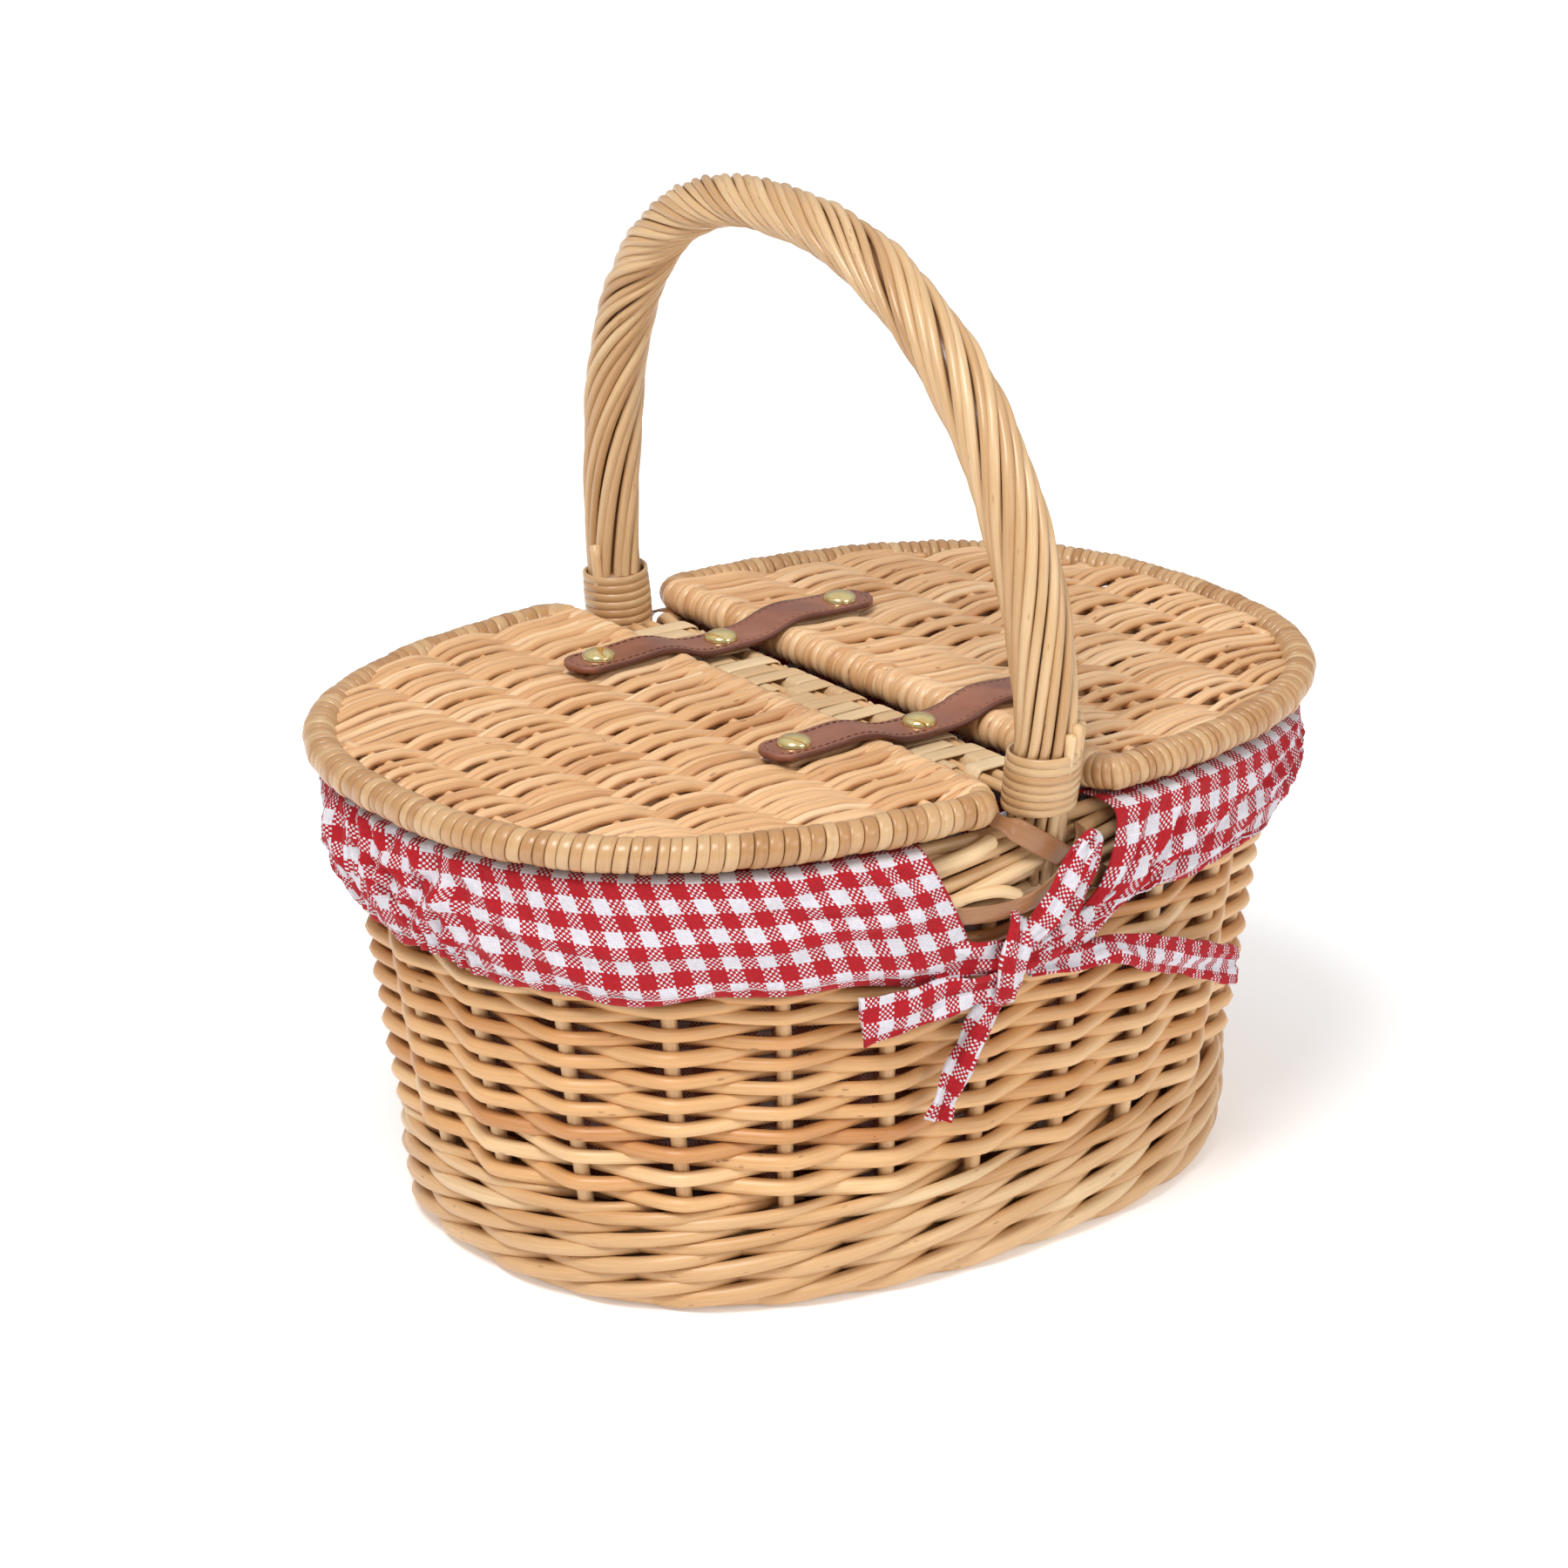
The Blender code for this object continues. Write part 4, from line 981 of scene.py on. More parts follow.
def handle_centre():
    """The bow's centre line, from inside the wall at the rear over to the front."""
    t = np.linspace(0.0, math.pi, 400)
    rise = np.abs(np.sin(t)) ** (2.0 / HANDLE_POWER)
    across = signed_power(np.cos(t), 2.0 / HANDLE_POWER)
    y = HANDLE_HALF_SPAN * across + HANDLE_LEAN * rise**HANDLE_LEAN_POWER
    bow = np.column_stack([np.zeros_like(y), y, HANDLE_SPRING + HANDLE_RISE * rise])
    levels = np.linspace(0.126, HANDLE_SPRING, 20)[:-1]
    path = np.vstack([leg_points(levels, 1.0), bow, leg_points(levels, -1.0)[::-1]])
    path = resample(path, np.linspace(0.0, lengths_along(path)[-1], 420))
    for axis in (1, 2):
        path[:, axis] = smoothed(path[:, axis], 6, mode="reflect", reflect_type="odd")
    return path


# Along the bow from rear to front: share of the way, radius, and degrees of twist each millimetre.
HANDLE_SHARES = (0.00, 0.10, 0.22, 0.34, 0.45, 0.56, 0.70, 0.84, 0.92, 1.00)
HANDLE_RADII = (0.0084, 0.0088, 0.0096, 0.0090, 0.0082, 0.0090, 0.0101, 0.0104, 0.0096, 0.0086)
HANDLE_TWIST = (0.1, 0.9, 2.4, 5.2, 5.2, 3.4, 2.4, 1.9, 0.9, 0.3)


def build_handle():
    """Rods twisted together round the core, tightest round the rear of the bend."""
    bundle = Bundle("handle_strands", 41)
    rng = bundle.rng
    path = handle_centre()
    share = np.linspace(0.0, 1.0, len(path))
    radius = np.interp(share, HANDLE_SHARES, HANDLE_RADII)
    rate = np.interp(share, HANDLE_SHARES, HANDLE_TWIST)
    step = lengths_along(path)[-1] / (len(path) - 1)
    angle = np.cumsum(np.radians(rate) * step * 1000.0)
    tangent = unit(np.gradient(path, axis=0))
    outward = np.column_stack([np.zeros(len(path)), tangent[:, 2], -tangent[:, 1]])
    strands = 14
    for strand in range(strands):
        thick = radius * 0.173 * rng.uniform(0.84, 1.16)
        ring = radius - thick + 0.0004 * wobble(share, rng, (2, 3, 5))
        phase = angle + TURN * (strand + 0.25 * (rng.random() - 0.5)) / strands
        phase = phase + 0.06 * wobble(share, rng, (2, 4))
        strand_path = path + outward * (ring * np.cos(phase))[:, None]
        strand_path[:, 0] -= ring * np.sin(phase)
        bundle.add(strand_path[::2], thick[::2], across=outward[::2], section=round_section(10),
                   tint=0.15 + 0.75 * rng.random())
    # The core takes the darkest tan, as painted shade in the grooves between the strands.
    bundle.add(path[::4], radius[::4] * 0.62, across=outward[::4], tint=0.0, slot=1)
    piece = bundle.build(handle_willow, tan_skein)
    place(piece, "basket", "willow", "handle_rope", "handle_core")


def build_binding(label, side):
    """Flat skein wound round the foot of the bow, with the cut ends of rods above it."""
    bundle = Bundle(f"binding_{label}", 42 if side < 0 else 43)
    rng = bundle.rng
    turns = 7
    outer = 0.0113 if side < 0 else 0.0107
    phase = np.linspace(0.0, TURN * turns, turns * 28)
    share = phase / phase[-1]
    level = BINDING_BOTTOM + 0.0018 + (BINDING_TOP - BINDING_BOTTOM - 0.0036) * share
    level = level + 0.0004 * np.sin(phase + 0.8)
    swell = outer - 0.0006 + 0.0003 * np.sin(share * math.pi)
    round_leg = np.column_stack([np.cos(phase) * swell, np.sin(phase) * swell, 0.0 * phase])
    path = leg_points(level, side) + round_leg
    tints = rng.uniform(0.45, 1.0, turns + 1)[np.floor(share * turns).astype(int)]
    bundle.add(path, 0.00155, 0.00065, across=Z_AXIS, section=round_section(8, 3.0),
               tint=tints)
    core = leg_points(np.linspace(BINDING_BOTTOM + 0.003, BINDING_TOP - 0.003, 6), side)
    bundle.add(core, outer - 0.0015, across=X_AXIS, section=round_section(20), tint=0.0,
               slot=1)
    stubs = np.radians((-84.0, -66.0, -48.0, -31.0, -14.0) if side < 0 else (196.0, 62.0))
    for angle in stubs:
        out = np.array((math.cos(angle), math.sin(angle), 0.0)) * (outer - 0.0016)
        top = BINDING_TOP + rng.uniform(0.0030, 0.0085)
        levels = np.linspace(BINDING_TOP - 0.012, top, 6)
        bundle.add(leg_points(levels, side) + out, 0.0017, across=X_AXIS, dome=0.1,
                   tint=0.6 + 0.3 * rng.random(), slot=2)
    piece = bundle.build(rim_skein, tan_skein, pale_willow)
    place(piece, "basket", "pale_willow", f"handle_binding_{label}")


# Points (x, level, distance out) of the strips over the border, and half of each one's width.
LASHINGS = ((((-0.0230, 0.1450, -0.0128), (-0.0222, 0.1494, -0.0096), (-0.0205, 0.1508, -0.0050),
              (-0.0172, 0.1490, 0.0008), (-0.0097, 0.1440, 0.0046), (0.0036, 0.1348, 0.0052),
              (0.0150, 0.1270, 0.0044), (0.0240, 0.1220, 0.0020)), 0.0036),
            (((0.0120, 0.1420, 0.0000), (0.0090, 0.1385, 0.0044), (0.0018, 0.1316, 0.0066),
              (-0.0059, 0.1262, 0.0068), (-0.0172, 0.1239, 0.0064), (-0.0326, 0.1245, 0.0050),
              (-0.0440, 0.1260, 0.0010)), 0.0028))


def build_lashing(label):
    """Flat skein that crosses over the border below the foot of the bow."""
    bundle = Bundle(f"lashing_{label}", 44)
    for strip, half_width in LASHINGS:
        path, normal = on_wall(smooth_path(strip, 40), label)
        over_top = smooth_step(path[:, 2:], 0.1475, 0.1500) * (0.0, 0.0, 3.0)
        across = np.cross(unit(np.gradient(path, axis=0)), normal + over_top)
        bundle.add(path, half_width, 0.00045, across=across, section=round_section(10, 4.0),
                   tint=0.4 + 0.4 * bundle.rng.random())
    place(bundle.build(tan_skein), "basket", "willow_skein", f"handle_lashing_{label}")


# ---- leather straps and rivets --------------------------------------------------------------
def strap_line():
    """The strap's centre line on the right half: flat on the bridge, then over the hinge bar."""
    level = STRAP_LEVEL
    points = [(0.0, level), (0.0060, level), (0.0110, level + 0.0004), (0.0155, level + 0.0014),
              (0.0200, level + 0.0030), (0.0250, level + 0.0042), (0.0300, level + 0.0045),
              (0.0370, level + 0.0040), (0.0450, level + 0.0036), (STRAP_REACH, level + 0.0036)]
    return smooth_path(points, 90)


STRAP_SEAM = 0.76              # the seam's place, as a share of the strap's half width


def build_strap(label, end):
    """Half of one strap, from the middle of the bridge out to its rounded end on a lid."""
    side = -1.0 if end == "left" else 1.0
    low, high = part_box(f"strap_{label}_{end}")
    middle, half_width = (low.y + high.y) / 2.0, (high.y - low.y) / 2.0
    line = strap_line()
    from_tip = lengths_along(line)[-1] - lengths_along(line)
    reach = np.clip(from_tip / half_width, 0.0, 1.0)
    width = np.maximum(half_width * np.sqrt(1.0 - (1.0 - reach) ** 2), 0.0004)
    path = np.column_stack([side * line[:, 0], np.full(len(line), middle), line[:, 1]])
    q = np.linspace(-1.0, 1.0, 25)
    groove = np.exp(-(((np.abs(q) - STRAP_SEAM) / 0.045) ** 2))
    top = 1.0 - 0.35 * np.abs(q) ** 12 - 0.30 * groove
    under = np.linspace(0.98, -0.98, 9)
    section = np.vstack([np.column_stack([q, top]),
                         np.column_stack([under, np.full(len(under), -1.0)])])
    section[:, 0] *= -side
    bundle = Bundle(f"strap_{label}_{end}_half", 51)
    bundle.add(path, width, 0.0010, across=(0.0, -1.0, 0.0), section=section, dome=0.0)
    seam = resample(line, np.linspace(0.0, lengths_along(line)[-1] - half_width, 400))
    seam_x, seam_z = seam.T
    inner = STRAP_SEAM * half_width
    arc = np.linspace(math.pi / 2.0, -math.pi / 2.0, 60)
    arc_x = STRAP_REACH - half_width + inner * np.cos(arc)
    around = np.column_stack([arc_x, middle + inner * np.sin(arc), np.full(60, line[-1, 1])])
    upper = np.column_stack([seam_x, np.full(400, middle + inner), seam_z])
    lower = np.column_stack([seam_x, np.full(400, middle - inner), seam_z])
    thread = np.vstack([upper, around, lower[::-1]])
    thread[:, 2] += 0.00078
    thread[:, 0] *= side
    total = lengths_along(thread)[-1]
    for start in np.arange(0.0006, total - 0.002, 0.0027):
        piece = resample(thread, np.linspace(start, start + 0.0019, 5))
        piece[:, 2] += 0.00018 * np.array((-1.0, 0.6, 1.0, 0.6, -1.0))
        bundle.add(piece, 0.00021, across=Z_AXIS, section=round_section(6), slot=1)
    strap = bundle.build(leather, leather_thread)
    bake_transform(strap)
    nodes = [f"strap_{label}_{end}"] + ([f"strap_{label}_centre"] if end == "left" else [])
    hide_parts(*nodes)


def turned(name, x, y, profile, material):
    """A shape turned round an upright axis, from (radius, height) points that start and end on it."""
    sides = 40
    angle = TURN * np.arange(sides) / sides
    radius, height = np.array(profile[1:-1]).T[..., None]
    rings = np.stack(np.broadcast_arrays(x + radius * np.cos(angle), y - radius * np.sin(angle), height),
                     axis=-1)
    points = np.vstack([rings.reshape(-1, 3), (x, y, profile[0][1]), (x, y, profile[-1][1])])
    index = np.arange(rings.size // 3).reshape(-1, sides)
    following = np.roll(index, -1, axis=1)
    last = np.full(sides, len(points) - 1)
    caps = np.vstack([np.column_stack([last - 1, following[0], index[0]]),
                      np.column_stack([last, index[-1], following[-1]])])
    obj = make_object(name, points, [grid_quads(index, wrap=True), caps], [material])
    obj.data.set_sharp_from_angle(angle=math.radians(50.0))
    return obj


def build_rivet(label, end):
    """A domed cap with a rolled edge, its shank, and the clenched washer below."""
    low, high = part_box(f"rivet_{label}_{end}")
    seat = STRAP_LEVEL + (0.0010 if end == "centre" else 0.0046)
    dome = [(0.0053 * math.sin(a), seat + 0.0005 + 0.0024 * math.cos(a))
            for a in np.linspace(0.0, math.pi / 2.0, 14)]
    edge = [(0.0054, seat + 0.0002), (0.0052, seat - 0.0001), (0.0014, seat - 0.0001)]
    washer = [(0.0014, low.z + 0.0008), (0.0032, low.z + 0.0008), (0.0034, low.z + 0.0004),
              (0.0031, low.z), (0.0, low.z)]
    piece = turned(f"rivet_{label}_{end}_brass", (low.x + high.x) / 2.0, (low.y + high.y) / 2.0,
                   dome + edge + washer, brass)
    place(piece, "basket" if end == "centre" else f"{end}_lid", "brass", f"rivet_{label}_{end}")


# ---- liner --------------------------------------------------------------------------------
HEM_LEVEL = {"left": 0.1075, "right": 0.1160}
HEM_DIP = {"left": 0.0028, "right": 0.0072}            # how much lower the hem is beside the knot
OPENING_TOP = {"left": -0.0470, "right": 0.0205}       # the skirt's edge at the border's top
OPENING_HEM = {"left": -0.0265, "right": -0.0020}      # and at the hem
OPENING_CURVE = {"left": 1.0, "right": 2.8}            # how late that edge swings in
KNOT = (-0.0200, 0.1075)

# Folds beside each knot: distance from the skirt's edge and share of the drop where the fold
# starts, the same where it ends, then its width and height.
FOLDS = {
    "left": ((0.004, 0.46, 0.080, 0.60, 0.0022, 0.0016), (0.070, 0.62, 0.150, 0.40, 0.0026, 0.0014),
             (0.000, 0.84, 0.110, 0.90, 0.0016, 0.0009), (0.024, 0.02, 0.006, 0.40, 0.0018, 0.0018),
             (0.012, 0.40, 0.050, 0.52, 0.0012, 0.0012), (0.030, 0.08, 0.060, 0.30, 0.0020, 0.0010),
             (0.140, 0.06, 0.096, 0.98, 0.0026, 0.0014), (0.158, 0.04, 0.116, 0.98, 0.0024, 0.0015),
             (0.174, 0.02, 0.136, 0.96, 0.0022, 0.0016), (0.190, 0.05, 0.156, 1.00, 0.0020, 0.0018)),
    "right": ((0.002, 0.98, 0.060, 0.38, 0.0020, 0.0024), (0.052, 0.46, 0.120, 0.08, 0.0022, 0.0022),
              (0.004, 1.00, 0.080, 0.66, 0.0024, 0.0026), (0.002, 0.92, 0.012, 0.05, 0.0018, 0.0018),
              (0.014, 0.75, 0.034, 0.02, 0.0020, 0.0016), (0.030, 0.98, 0.110, 0.84, 0.0022, 0.0020),
              (0.070, 0.58, 0.128, 0.42, 0.0022, 0.0022), (0.086, 0.82, 0.140, 0.56, 0.0024, 0.0024),
              (0.116, 0.96, 0.150, 0.20, 0.0022, 0.0020)),
}


def skirt_profile(hem):
    """Points (out, level) from inside the border, over its top and down to the hem."""
    top = BORDER_TOP + 0.0012
    points = [(-0.0130, top - 0.0100), (-0.0124, top - 0.0010), (-0.0060, top + 0.0006),
              (0.0015, top + 0.0004), (0.0062, top - 0.0018), (0.0074, top - 0.0080),
              (0.0072, top - 0.0180), (0.0062, (top + hem) / 2.0 - 0.0060),
              (0.0044, hem + 0.0060), (0.0030, hem)]
    path = smooth_path(points, 200)
    return resample(path, np.linspace(0.0, lengths_along(path)[-1], 46))


def crumple(cloth_object, pinned, slack):
    """Lets the cloth sag between its pins. Points in slack grow, so they buckle into folds."""
    pins = cloth_object.vertex_groups.new(name="pins")
    growth = cloth_object.vertex_groups.new(name="growth")
    for index, (pin, grow) in enumerate(zip(pinned, slack)):
        if pin > 0.0:
            pins.add([index], float(pin), "REPLACE")
        growth.add([index], float(grow), "REPLACE")
    cloth = cloth_object.modifiers.new("cloth", "CLOTH")
    settings = cloth.settings
    settings.quality = 6
    settings.mass = 0.12
    settings.tension_stiffness = settings.compression_stiffness = 18.0
    settings.shear_stiffness = 6.0
    settings.bending_stiffness = 0.004
    settings.tension_damping = settings.compression_damping = settings.shear_damping = 12.0
    settings.bending_damping = 0.8
    settings.air_damping = 3.0
    settings.vertex_group_mass = "pins"
    settings.vertex_group_shrink = "growth"
    settings.shrink_min = -0.015
    settings.shrink_max = -0.38
    settings.use_pressure = True
    settings.uniform_pressure_force = 0.25
    cloth.collision_settings.use_collision = False
    scene = bpy.context.scene
    for step in range(1, 31):
        scene.frame_set(step)
    graph = bpy.context.evaluated_depsgraph_get()
    settled = cloth_object.evaluated_get(graph).to_mesh()
    points = np.empty(len(settled.vertices) * 3, np.float32)
    settled.vertices.foreach_get("co", points)
    cloth_object.evaluated_get(graph).to_mesh_clear()
    scene.frame_set(1)
    return points.reshape(-1, 3).astype(float)


def add_fold(height, draw, across, drop, fold, depth):
    """Raises one drag fold in the cloth and draws the weave in towards it."""
    start = np.array((fold[0], fold[1] * depth))
    end = np.array((fold[2], fold[3] * depth))
    width, rise = fold[4:]
    length = float(np.linalg.norm(end - start))
    direction = (end - start) / length
    along = ((across - start[0]) * direction[0] + (drop - start[1]) * direction[1]) / length
    aside = (drop - start[1]) * direction[0] - (across - start[0]) * direction[1]
    aside = aside + 0.0010 * np.sin(5.0 * along + 300.0 * start[0])
    fade = smooth_step(along, -0.05, 0.16) * (1.0 - smooth_step(along, 0.55, 1.10))
    ridge = np.exp(-np.abs(aside / width) ** 1.3)
    valley = np.exp(-(((aside - 2.0 * width) / width) ** 2))
    height += rise * fade * (ridge - 0.40 * valley)
    pull = 0.5 * rise * fade * np.tanh(aside / width) * np.exp(-((aside / (7.0 * width)) ** 2))
    draw[..., 0] -= direction[1] * pull
    draw[..., 1] += direction[0] * pull


def random_folds(rng, reach, count):
    """Short steep folds, close together round the end of the basket where the skirt is bunched."""
    middles = reach * (0.5 + 0.10 * rng.uniform(-1.0, 1.0, count))
    folds = []
    for middle in middles:
        slant = rng.normal(0.0, 0.012)
        top, bottom = rng.uniform(0.0, 0.35), rng.uniform(0.65, 1.05)
        folds.append((middle - slant, top, middle + slant, bottom, rng.uniform(0.0013, 0.0024),
                      rng.uniform(0.0008, 0.0018)))
    for middle in rng.uniform(0.02, 0.98, count // 3) * reach:
        spread, level = rng.uniform(0.010, 0.026), rng.uniform(0.25, 0.90)
        folds.append((middle - spread, level, middle + spread, level + rng.normal(0.0, 0.22),
                      rng.uniform(0.0012, 0.0022), rng.uniform(0.0006, 0.0014)))
    return folds


def skirt_edges(label, hang):
    """The turns where a skirt starts and stops at each height, and whose opening is at each.

    The rear opening is the front one turned half round, so the two labels change places there.
    """
    other = "right" if label == "left" else "left"
    half_x = float(wall_halves(0.128)[0])
    edges = []
    for own, sign in ((label, 1.0), (other, -1.0)):
        x = OPENING_TOP[own] + (OPENING_HEM[own] - OPENING_TOP[own]) * hang ** OPENING_CURVE[own]
        edges.append(WALL.turn_of(x * sign / half_x, front=sign > 0.0))
    if label == "left":
        return edges[1], edges[0], other, label
    return edges[0], edges[1] + 1.0, label, other


def settled_cloth(label, grid, normal, out, coords, growth, hang):
    """The skirt after it has sagged, held off the border and near its own place outwards."""
    pinned = np.zeros(grid.shape[:2])
    pinned[hang[:, 0] < 0.04] = 1.0
    pinned[-1] = 1.0
    pinned[:, :1] = pinned[:, -1:] = 1.0
    sheet = Cloth(f"sheet_{label}")
    sheet.add(grid, coords)
    model = sheet.build(0.0, gingham)
    model.modifiers.clear()
    slack = growth * np.minimum(1.0, hang * 4.0)
    shift = crumple(model, pinned.ravel(), slack.ravel()).reshape(grid.shape) - grid
    bpy.data.objects.remove(model)
    outward = np.sum(shift * normal, axis=-1)
    room = np.maximum(out - 0.0024, 0.0)
    limited = np.where(outward < 0.0, -room * np.tanh(-outward / np.maximum(room, 1e-6)),
                       0.0026 * np.tanh(outward / 0.0026))
    return grid + shift + normal * (limited - outward)[..., None]


def add_folds(grid, normal, coords, rng, owners, reach, length):
    """Raises the random folds and those beside each knot in the part that hangs outside."""
    shape = grid.shape[:2]
    depth = 0.65 * length
    drop = np.linspace(depth - length, depth, shape[0])[:, None]
    along = np.linspace(0.0, 1.0, shape[1])
    height, draw, mirrored = np.zeros(shape), np.zeros((*shape, 2)), np.zeros((*shape, 2))
    for fold in (*random_folds(rng, reach, 30), *FOLDS[owners[0]]):
        add_fold(height, draw, along * reach, drop, fold, depth)
    for fold in FOLDS[owners[1]]:
        add_fold(height, mirrored, (1.0 - along) * reach, drop, fold, depth)
    draw += mirrored * (-1.0, 1.0)
    below = smooth_step(drop, 0.0, 0.006)
    grid = grid + normal * (height * below)[..., None]
    grid[..., 2] -= 0.35 * height * below * smooth_step(drop, 0.5 * depth, depth)
    return grid, coords + draw * below[..., None]


def stitch_hem(label, grid, normal, length):
    """A line of stitches round the skirt, 4 mm above its hem."""
    row = int(round((1.0 - 0.0040 / length) * (len(grid) - 1)))
    seam = grid[row, 2:-2] + normal[row, 2:-2] * 0.00065
    bundle = Bundle(f"liner_skirt_{label}_stitches", 63)
    for start in np.arange(0.001, lengths_along(seam)[-1] - 0.003, 0.0031):
        stitch = resample(seam, np.linspace(start, start + 0.0026, 4))
        bundle.add(stitch, 0.00024, across=Z_AXIS, section=round_section(5))
    stitches = bundle.build(cotton_thread)
    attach(stitches, "basket")


def build_skirt(label):
    """One side of the gathered skirt, folded over the border and open at each foot of the bow."""
    rng = np.random.default_rng(61 if label == "left" else 62)
    hem = HEM_LEVEL[label]
    profile = skirt_profile(hem)
    down = lengths_along(profile)
    length = down[-1]
    hang = np.clip((BORDER_TOP - profile[:, 1]) / (BORDER_TOP - hem), 0.0, 1.0)
    hang[down < length * 0.35] = 0.0
    start, stop, *owners = skirt_edges(label, hang)
    hang = hang[:, None]
    along = np.linspace(0.0, 1.0, 300)
    turns = start[:, None] + (stop - start)[:, None] * along
    bunched = np.exp(-(((along - 0.5) / 0.15) ** 2))
    reach = WALL.length * float(np.mean(stop - start))
    gathers = np.sin(TURN * (along * 47.0 + 0.8 * wobble(along, rng, (3, 5, 8))))
    sag = 0.0016 * wobble(along, rng, (3, 5, 9))
    for owner, share in zip(owners, (along, 1.0 - along)):
        sag -= HEM_DIP[owner] * np.exp(-((share * reach / 0.030) ** 2))
    out = profile[:, :1] + gathers * (0.0002 + 0.0013 * bunched) * hang
    grid, normal = wall_points(turns, profile[:, 1:2] + sag * hang, out)
    growth = np.clip(0.16 + 0.84 * bunched + 0.10 * wobble(along, rng, (4, 7, 11)), 0.0, 1.0)
    u = np.cumsum(np.gradient(along * reach + 0.05) * (1.0 + 0.12 * growth))
    coords = np.stack(np.broadcast_arrays(u, down[:, None]), axis=-1)
    grid = settled_cloth(label, grid, normal, out, coords, growth, hang)
    grid, normal, coords = (finer(values, 84, 540) for values in (grid, normal, coords))
    grid, coords = add_folds(grid, normal, coords, rng, owners, reach, length)
    cloth = Cloth(f"liner_skirt_{label}_cloth")
    cloth.add(grid, coords)
    place(cloth.build(0.0007, gingham), "basket", "gingham", f"liner_skirt_{label}")
    stitch_hem(label, grid, normal, length)


def build_bag():
    """The bag inside the wall, with a sewn-in floor."""
    rng = np.random.default_rng(64)
    columns = 260
    turns = np.arange(columns) / columns
    cloth = Cloth("liner_bag_cloth")
    floor = BASE_LEVEL + 0.0062
    levels = np.linspace(floor, BORDER_TOP - 0.0010, 50)[:, None]
    bulge = smooth_step(levels, 0.03, 0.06) * (1.0 - smooth_step(levels, 0.11, 0.14))
    ripple = 0.0007 * (1.0 + wobble(turns, rng, (9, 14, 23)))
    grid, _ = wall_points(turns, levels, -0.0138 - 0.0020 * bulge - ripple)
    coords = np.stack(np.broadcast_arrays(turns * WALL.length, levels), axis=-1)
    cloth.add(grid[:, ::-1], coords[:, ::-1], wrap=True)
    rings = np.linspace(0.02, 1.0, 30)
    floor_grid = grid[0] * np.stack([rings, rings, np.ones_like(rings)], axis=-1)[:, None, :]
    floor_grid[..., 2] += 0.0005 * np.sin(floor_grid[..., 0] * 70.0) * (1.0 - rings[:, None])
    cloth.add(floor_grid[::-1], floor_grid[::-1, :, :2].copy(), wrap=True)
    # The bag's back takes shaded_gingham, the copy with painted shade below the border.
    place(cloth.build(0.0006, gingham, shaded_gingham), "basket", "gingham", "liner_bag")


def spread_along(values, count):
    """A few values spaced evenly along a path, at count places."""
    values = np.asarray(values, float)
    return smooth_path(values[:, None], count)[:, 0]


def ribbon(cloth, points, widths, roll, rng, label, origin):
    """A folded tie along (x, level, out) points on the wall: a flat tube of cloth."""
    count, sides = 90, 28
    path, normal = on_wall(smooth_path(points, count), label)
    tangent = unit(np.gradient(path, axis=0))
    across = unit(np.cross(tangent, normal))
    roll = spread_along(roll, count)[:, None]
    tilted = across * np.cos(roll) + normal * np.sin(roll)
    lift = np.cross(tilted, tangent)
    along = lengths_along(path)[:, None]
    ripple = 1.0 + 0.05 * np.sin(along * 400.0 + rng.random() * TURN)
    angle = TURN * np.arange(sides) / sides
    q = np.cos(angle)
    aside = spread_along(widths, count)[:, None] / 2.0 * ripple * q
    drift = along * rng.uniform(90.0, 220.0) + rng.random() * TURN
    pleat = 0.00055 * np.sin(q * 4.5 + drift) + 0.0004 * np.sin(q * 9.0 - 1.7 * drift)
    cup = 0.0012 * np.sin(along * 150.0 + rng.random() * TURN) * (q**2 - 0.5)
    raised = 0.0008 * signed_power(np.sin(angle), 0.5) + pleat + cup
    sheet = path[:, None] + tilted[:, None] * aside[..., None] + lift[:, None] * raised[..., None]
    coords = np.stack([along + 0.18 * aside + origin[0], aside + origin[1]], axis=-1)
    cloth.add(sheet, coords, wrap=True)


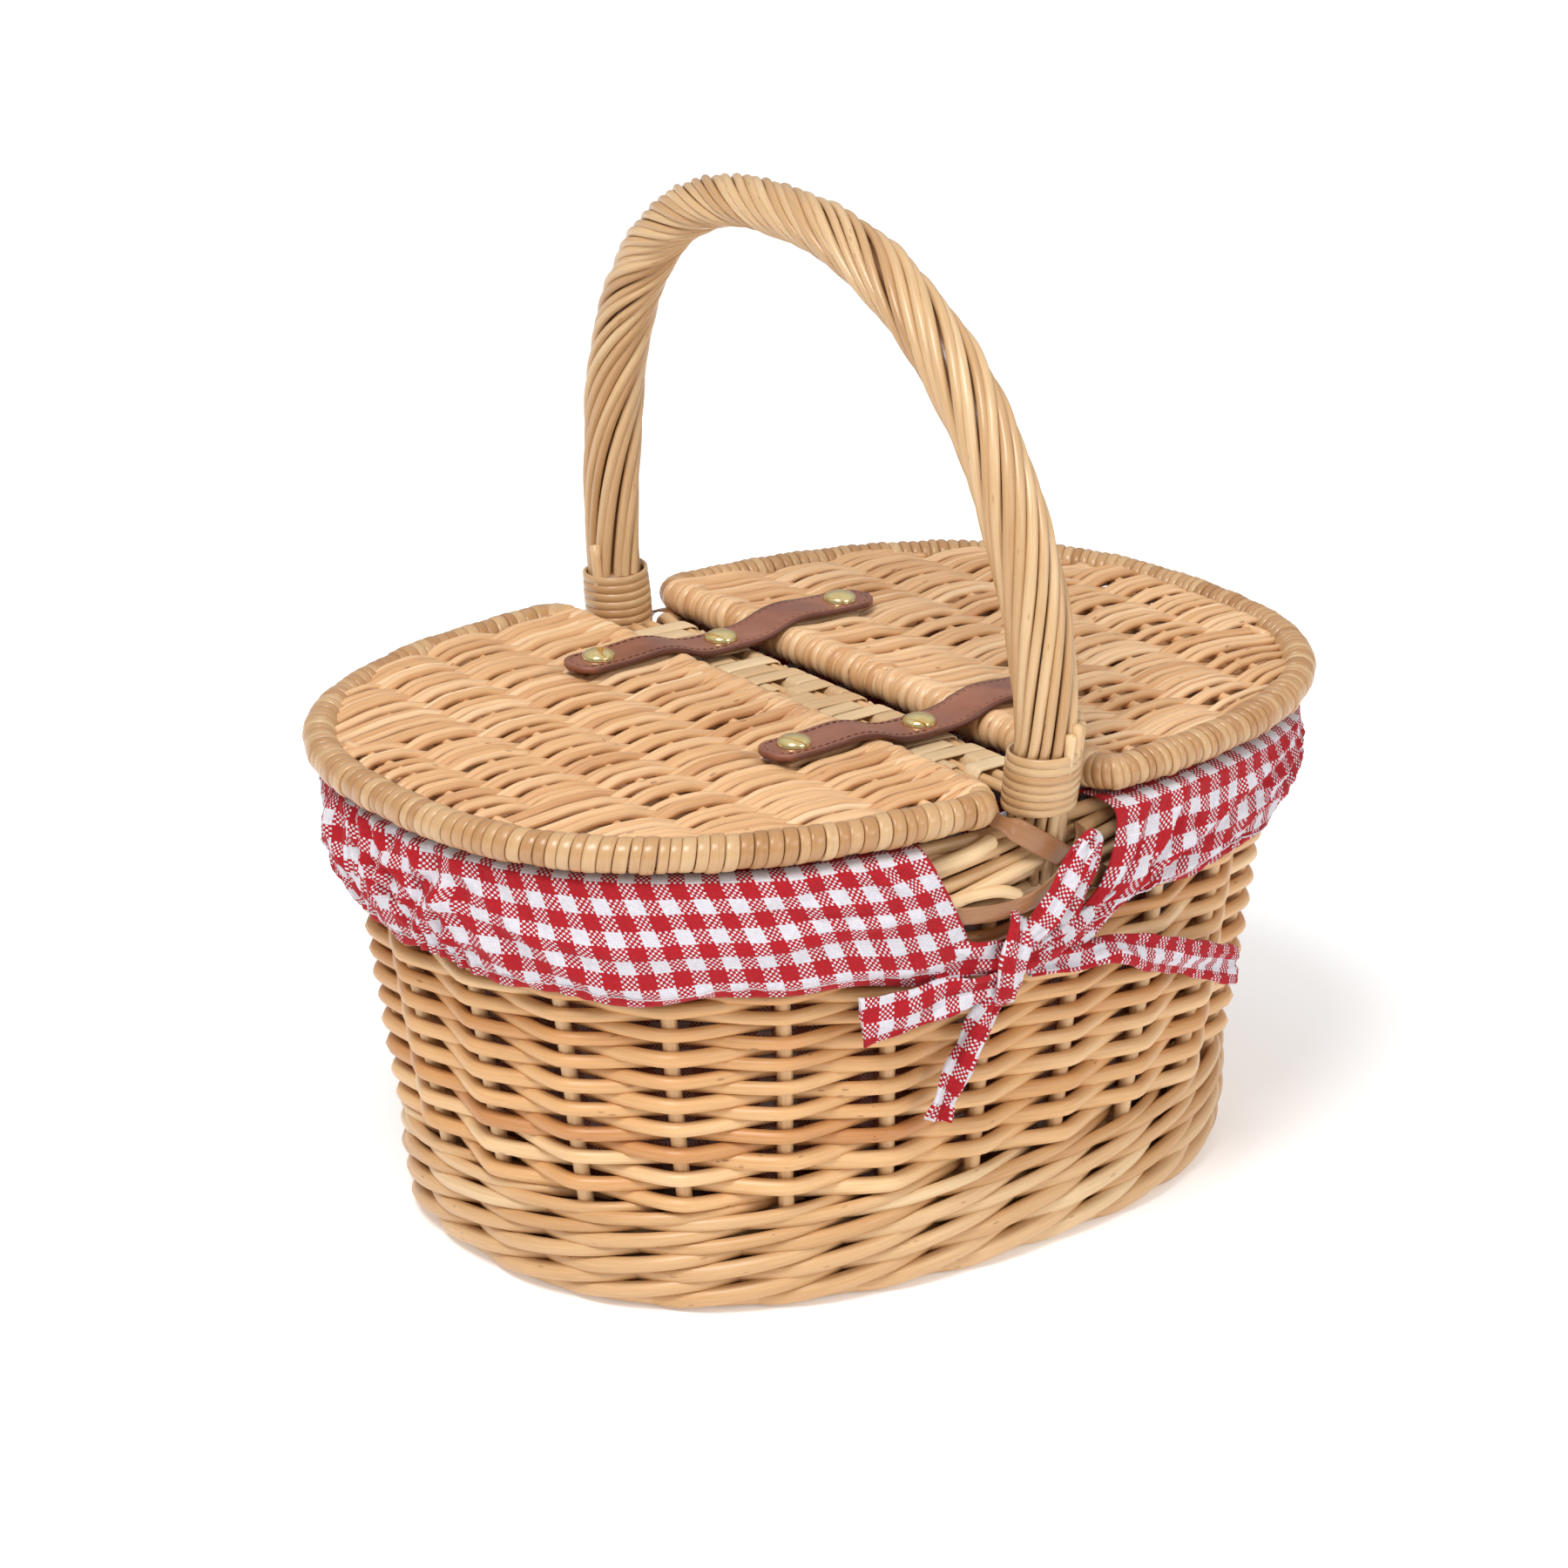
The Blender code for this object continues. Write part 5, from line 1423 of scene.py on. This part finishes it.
def build_tie(label):
    """The bow at a foot of the handle: necks from both skirts, a knot, a loop and three ends."""
    rng = np.random.default_rng(65)
    x, z = KNOT
    cloth = Cloth(f"tie_{label}_cloth")
    parts = (
        # the neck from the left skirt, and the neck from the right skirt
        ([(-0.0420, 0.1110, 0.0042), (-0.0320, 0.1108, 0.0062), (x, z + 0.0015, 0.0080)],
         (0.016, 0.012, 0.009), (0.2, -0.3, 0.3)),
        ([(0.0320, 0.1190, 0.0050), (0.0200, 0.1150, 0.0056), (0.0080, 0.1095, 0.0066),
          (-0.0050, 0.1062, 0.0074), (x + 0.001, z, 0.0080)],
         (0.004, 0.009, 0.012, 0.010, 0.008), (-0.2, 0.3, -0.2)),
        # the long end to the right, which twists near the knot
        ([(-0.0100, 0.1040, 0.0070), (0.0080, 0.1020, 0.0074), (0.0220, 0.1012, 0.0086),
          (0.0408, 0.0942, 0.0086), (0.0589, 0.0866, 0.0078), (0.0830, 0.0752, 0.0090)],
         (0.0070, 0.0080, 0.0095, 0.0110, 0.0114, 0.0120), (0.5, 0.2, 1.0, 0.1, -0.25, 0.15)),
        # the wide end to the left
        ([(x, z - 0.0055, 0.0090), (-0.0300, 0.1010, 0.0088), (-0.0400, 0.1006, 0.0078),
          (-0.0520, 0.0990, 0.0086), (-0.0660, 0.0975, 0.0080)],
         (0.0075, 0.0090, 0.0110, 0.0130, 0.0155), (0.5, 0.1, -0.2, 0.1, -0.1)),
        # the narrow end that hangs
        ([(x - 0.001, z - 0.0080, 0.0090), (-0.0262, 0.0900, 0.0074), (-0.0300, 0.0810, 0.0070),
          (-0.0345, 0.0710, 0.0070), (-0.0372, 0.0650, 0.0066), (-0.0385, 0.0590, 0.0070)],
         (0.0065, 0.0085, 0.0075, 0.0085, 0.0085, 0.0080), (0.3, -0.2, -1.1, -0.3, 0.3, -0.2)),
        # the loop: up, round a pointed tip and back behind itself
        ([(x + 0.0045, z + 0.0050, 0.0095), (-0.0100, 0.1195, 0.0120), (-0.0035, 0.1300, 0.0130),
          (0.0030, 0.1390, 0.0118), (0.0085, 0.1425, 0.0098), (0.0118, 0.1370, 0.0074),
          (0.0090, 0.1260, 0.0062), (0.0015, 0.1145, 0.0064), (x + 0.0060, z + 0.0020, 0.0078)],
         (0.0055, 0.0070, 0.0080, 0.0072, 0.0034, 0.0070, 0.0086, 0.0080, 0.0065),
         (0.9, 0.6, 0.4, 0.3, 0.2, 0.2, 0.1, 0.0, 0.0)),
        # the wrap of the knot
        ([(x + 0.0050, z + 0.0135, 0.0060), (x + 0.0018, z + 0.0090, 0.0115),
          (x - 0.0005, z, 0.0126), (x + 0.0002, z - 0.0090, 0.0108), (x + 0.0020, z - 0.0140, 0.0058)],
         (0.0070, 0.0085, 0.0098, 0.0088, 0.0070), (0.2, 0.0, 0.0)),
    )
    for number, (points, widths, roll) in enumerate(parts):
        ribbon(cloth, points, widths, roll, rng, label, (0.013 * number, 0.0031 * number))
    place(cloth.build(0.0005, gingham), "basket", "gingham", f"tie_{label}")


# ---- stage --------------------------------------------------------------------------------
def build_stage():
    size = 40.0
    points = np.array([(-size, -size, 0.0), (size, -size, 0.0), (size, size, 0.0), (-size, size, 0.0)])
    floor = make_object("studio_floor", points, [np.array([(0, 1, 2, 3)])],
                        [make_floor("studio_floor")])
    floor.location.z = -0.0002


def add_area_light(name, location, target, size, power):
    data = bpy.data.lights.new(name, "AREA")
    data.shape = "DISK"
    data.size = size
    data.energy = power
    light = bpy.data.objects.new(name, data)
    light.location = location
    light.rotation_mode = "QUATERNION"
    light.rotation_quaternion = (Vector(target) - Vector(location)).to_track_quat("-Z", "Y")
    bpy.context.scene.collection.objects.link(light)


def build_light():
    world = bpy.data.worlds.new("studio")
    bpy.context.scene.world = world
    world.use_nodes = True
    tree = world.node_tree
    background = tree.nodes["Background"]
    direction = tree.nodes.new("ShaderNodeTexCoord")
    split = tree.nodes.new("ShaderNodeSeparateXYZ")
    ramp = tree.nodes.new("ShaderNodeValToRGB")
    below, above = ramp.color_ramp.elements
    below.position, below.color = 0.0, (0.42, 0.42, 0.43, 1.0)
    above.position, above.color = 0.75, (1.0, 1.0, 1.0, 1.0)
    tree.links.new(direction.outputs["Generated"], split.inputs["Vector"])
    tree.links.new(split.outputs["Z"], ramp.inputs["Fac"])
    tree.links.new(ramp.outputs["Color"], background.inputs["Color"])
    background.inputs["Strength"].default_value = 0.66
    add_area_light("key_light", (-0.9, -0.5, 1.7), (0.0, 0.0, 0.1), 0.8, 24.0)
    add_area_light("front_light", (0.5, -1.9, 1.1), (0.0, 0.0, 0.1), 0.9, 9.0)
    bpy.context.scene.view_settings.view_transform = "Standard"


def build_camera():
    """The camera stands in front and to the left, a little above the lids."""
    azimuth, elevation = math.radians(-37.36), math.radians(20.22)
    distance = 1.6
    level = math.cos(elevation)
    back = Vector((math.sin(azimuth) * level, -math.cos(azimuth) * level, math.sin(elevation)))
    right = Vector((math.cos(azimuth), math.sin(azimuth), 0.0))
    data = bpy.data.cameras.new("camera")
    data.lens = 116.88
    data.sensor_width = 36.0
    camera = bpy.data.objects.new("camera", data)
    camera.location = Vector((0.0, 0.0, 0.1252)) + right * -0.0109 + back * distance
    camera.rotation_mode = "QUATERNION"
    camera.rotation_quaternion = (-back).to_track_quat("-Z", "Y")
    bpy.context.scene.collection.objects.link(camera)
    bpy.context.scene.camera = camera


# ---- assembly -----------------------------------------------------------------------------
build_stakes()
build_side_weave()
build_foot_wale()
build_border()
build_base()
for label, side in (("left", -1.0), ("right", 1.0)):
    build_lid_rim(label, side)
    build_lid_ribs(label, side)
    build_lid_weave(label, side)
    build_skirt(label)
build_bridge()
build_handle()
for label, side in (("front", -1.0), ("rear", 1.0)):
    build_binding(label, side)
    build_lashing(label)
    build_tie(label)
    for end in ("left", "right"):
        build_strap(label, end)
    for end in ("left", "centre", "right"):
        build_rivet(label, end)
build_bag()
build_stage()
build_light()
build_camera()
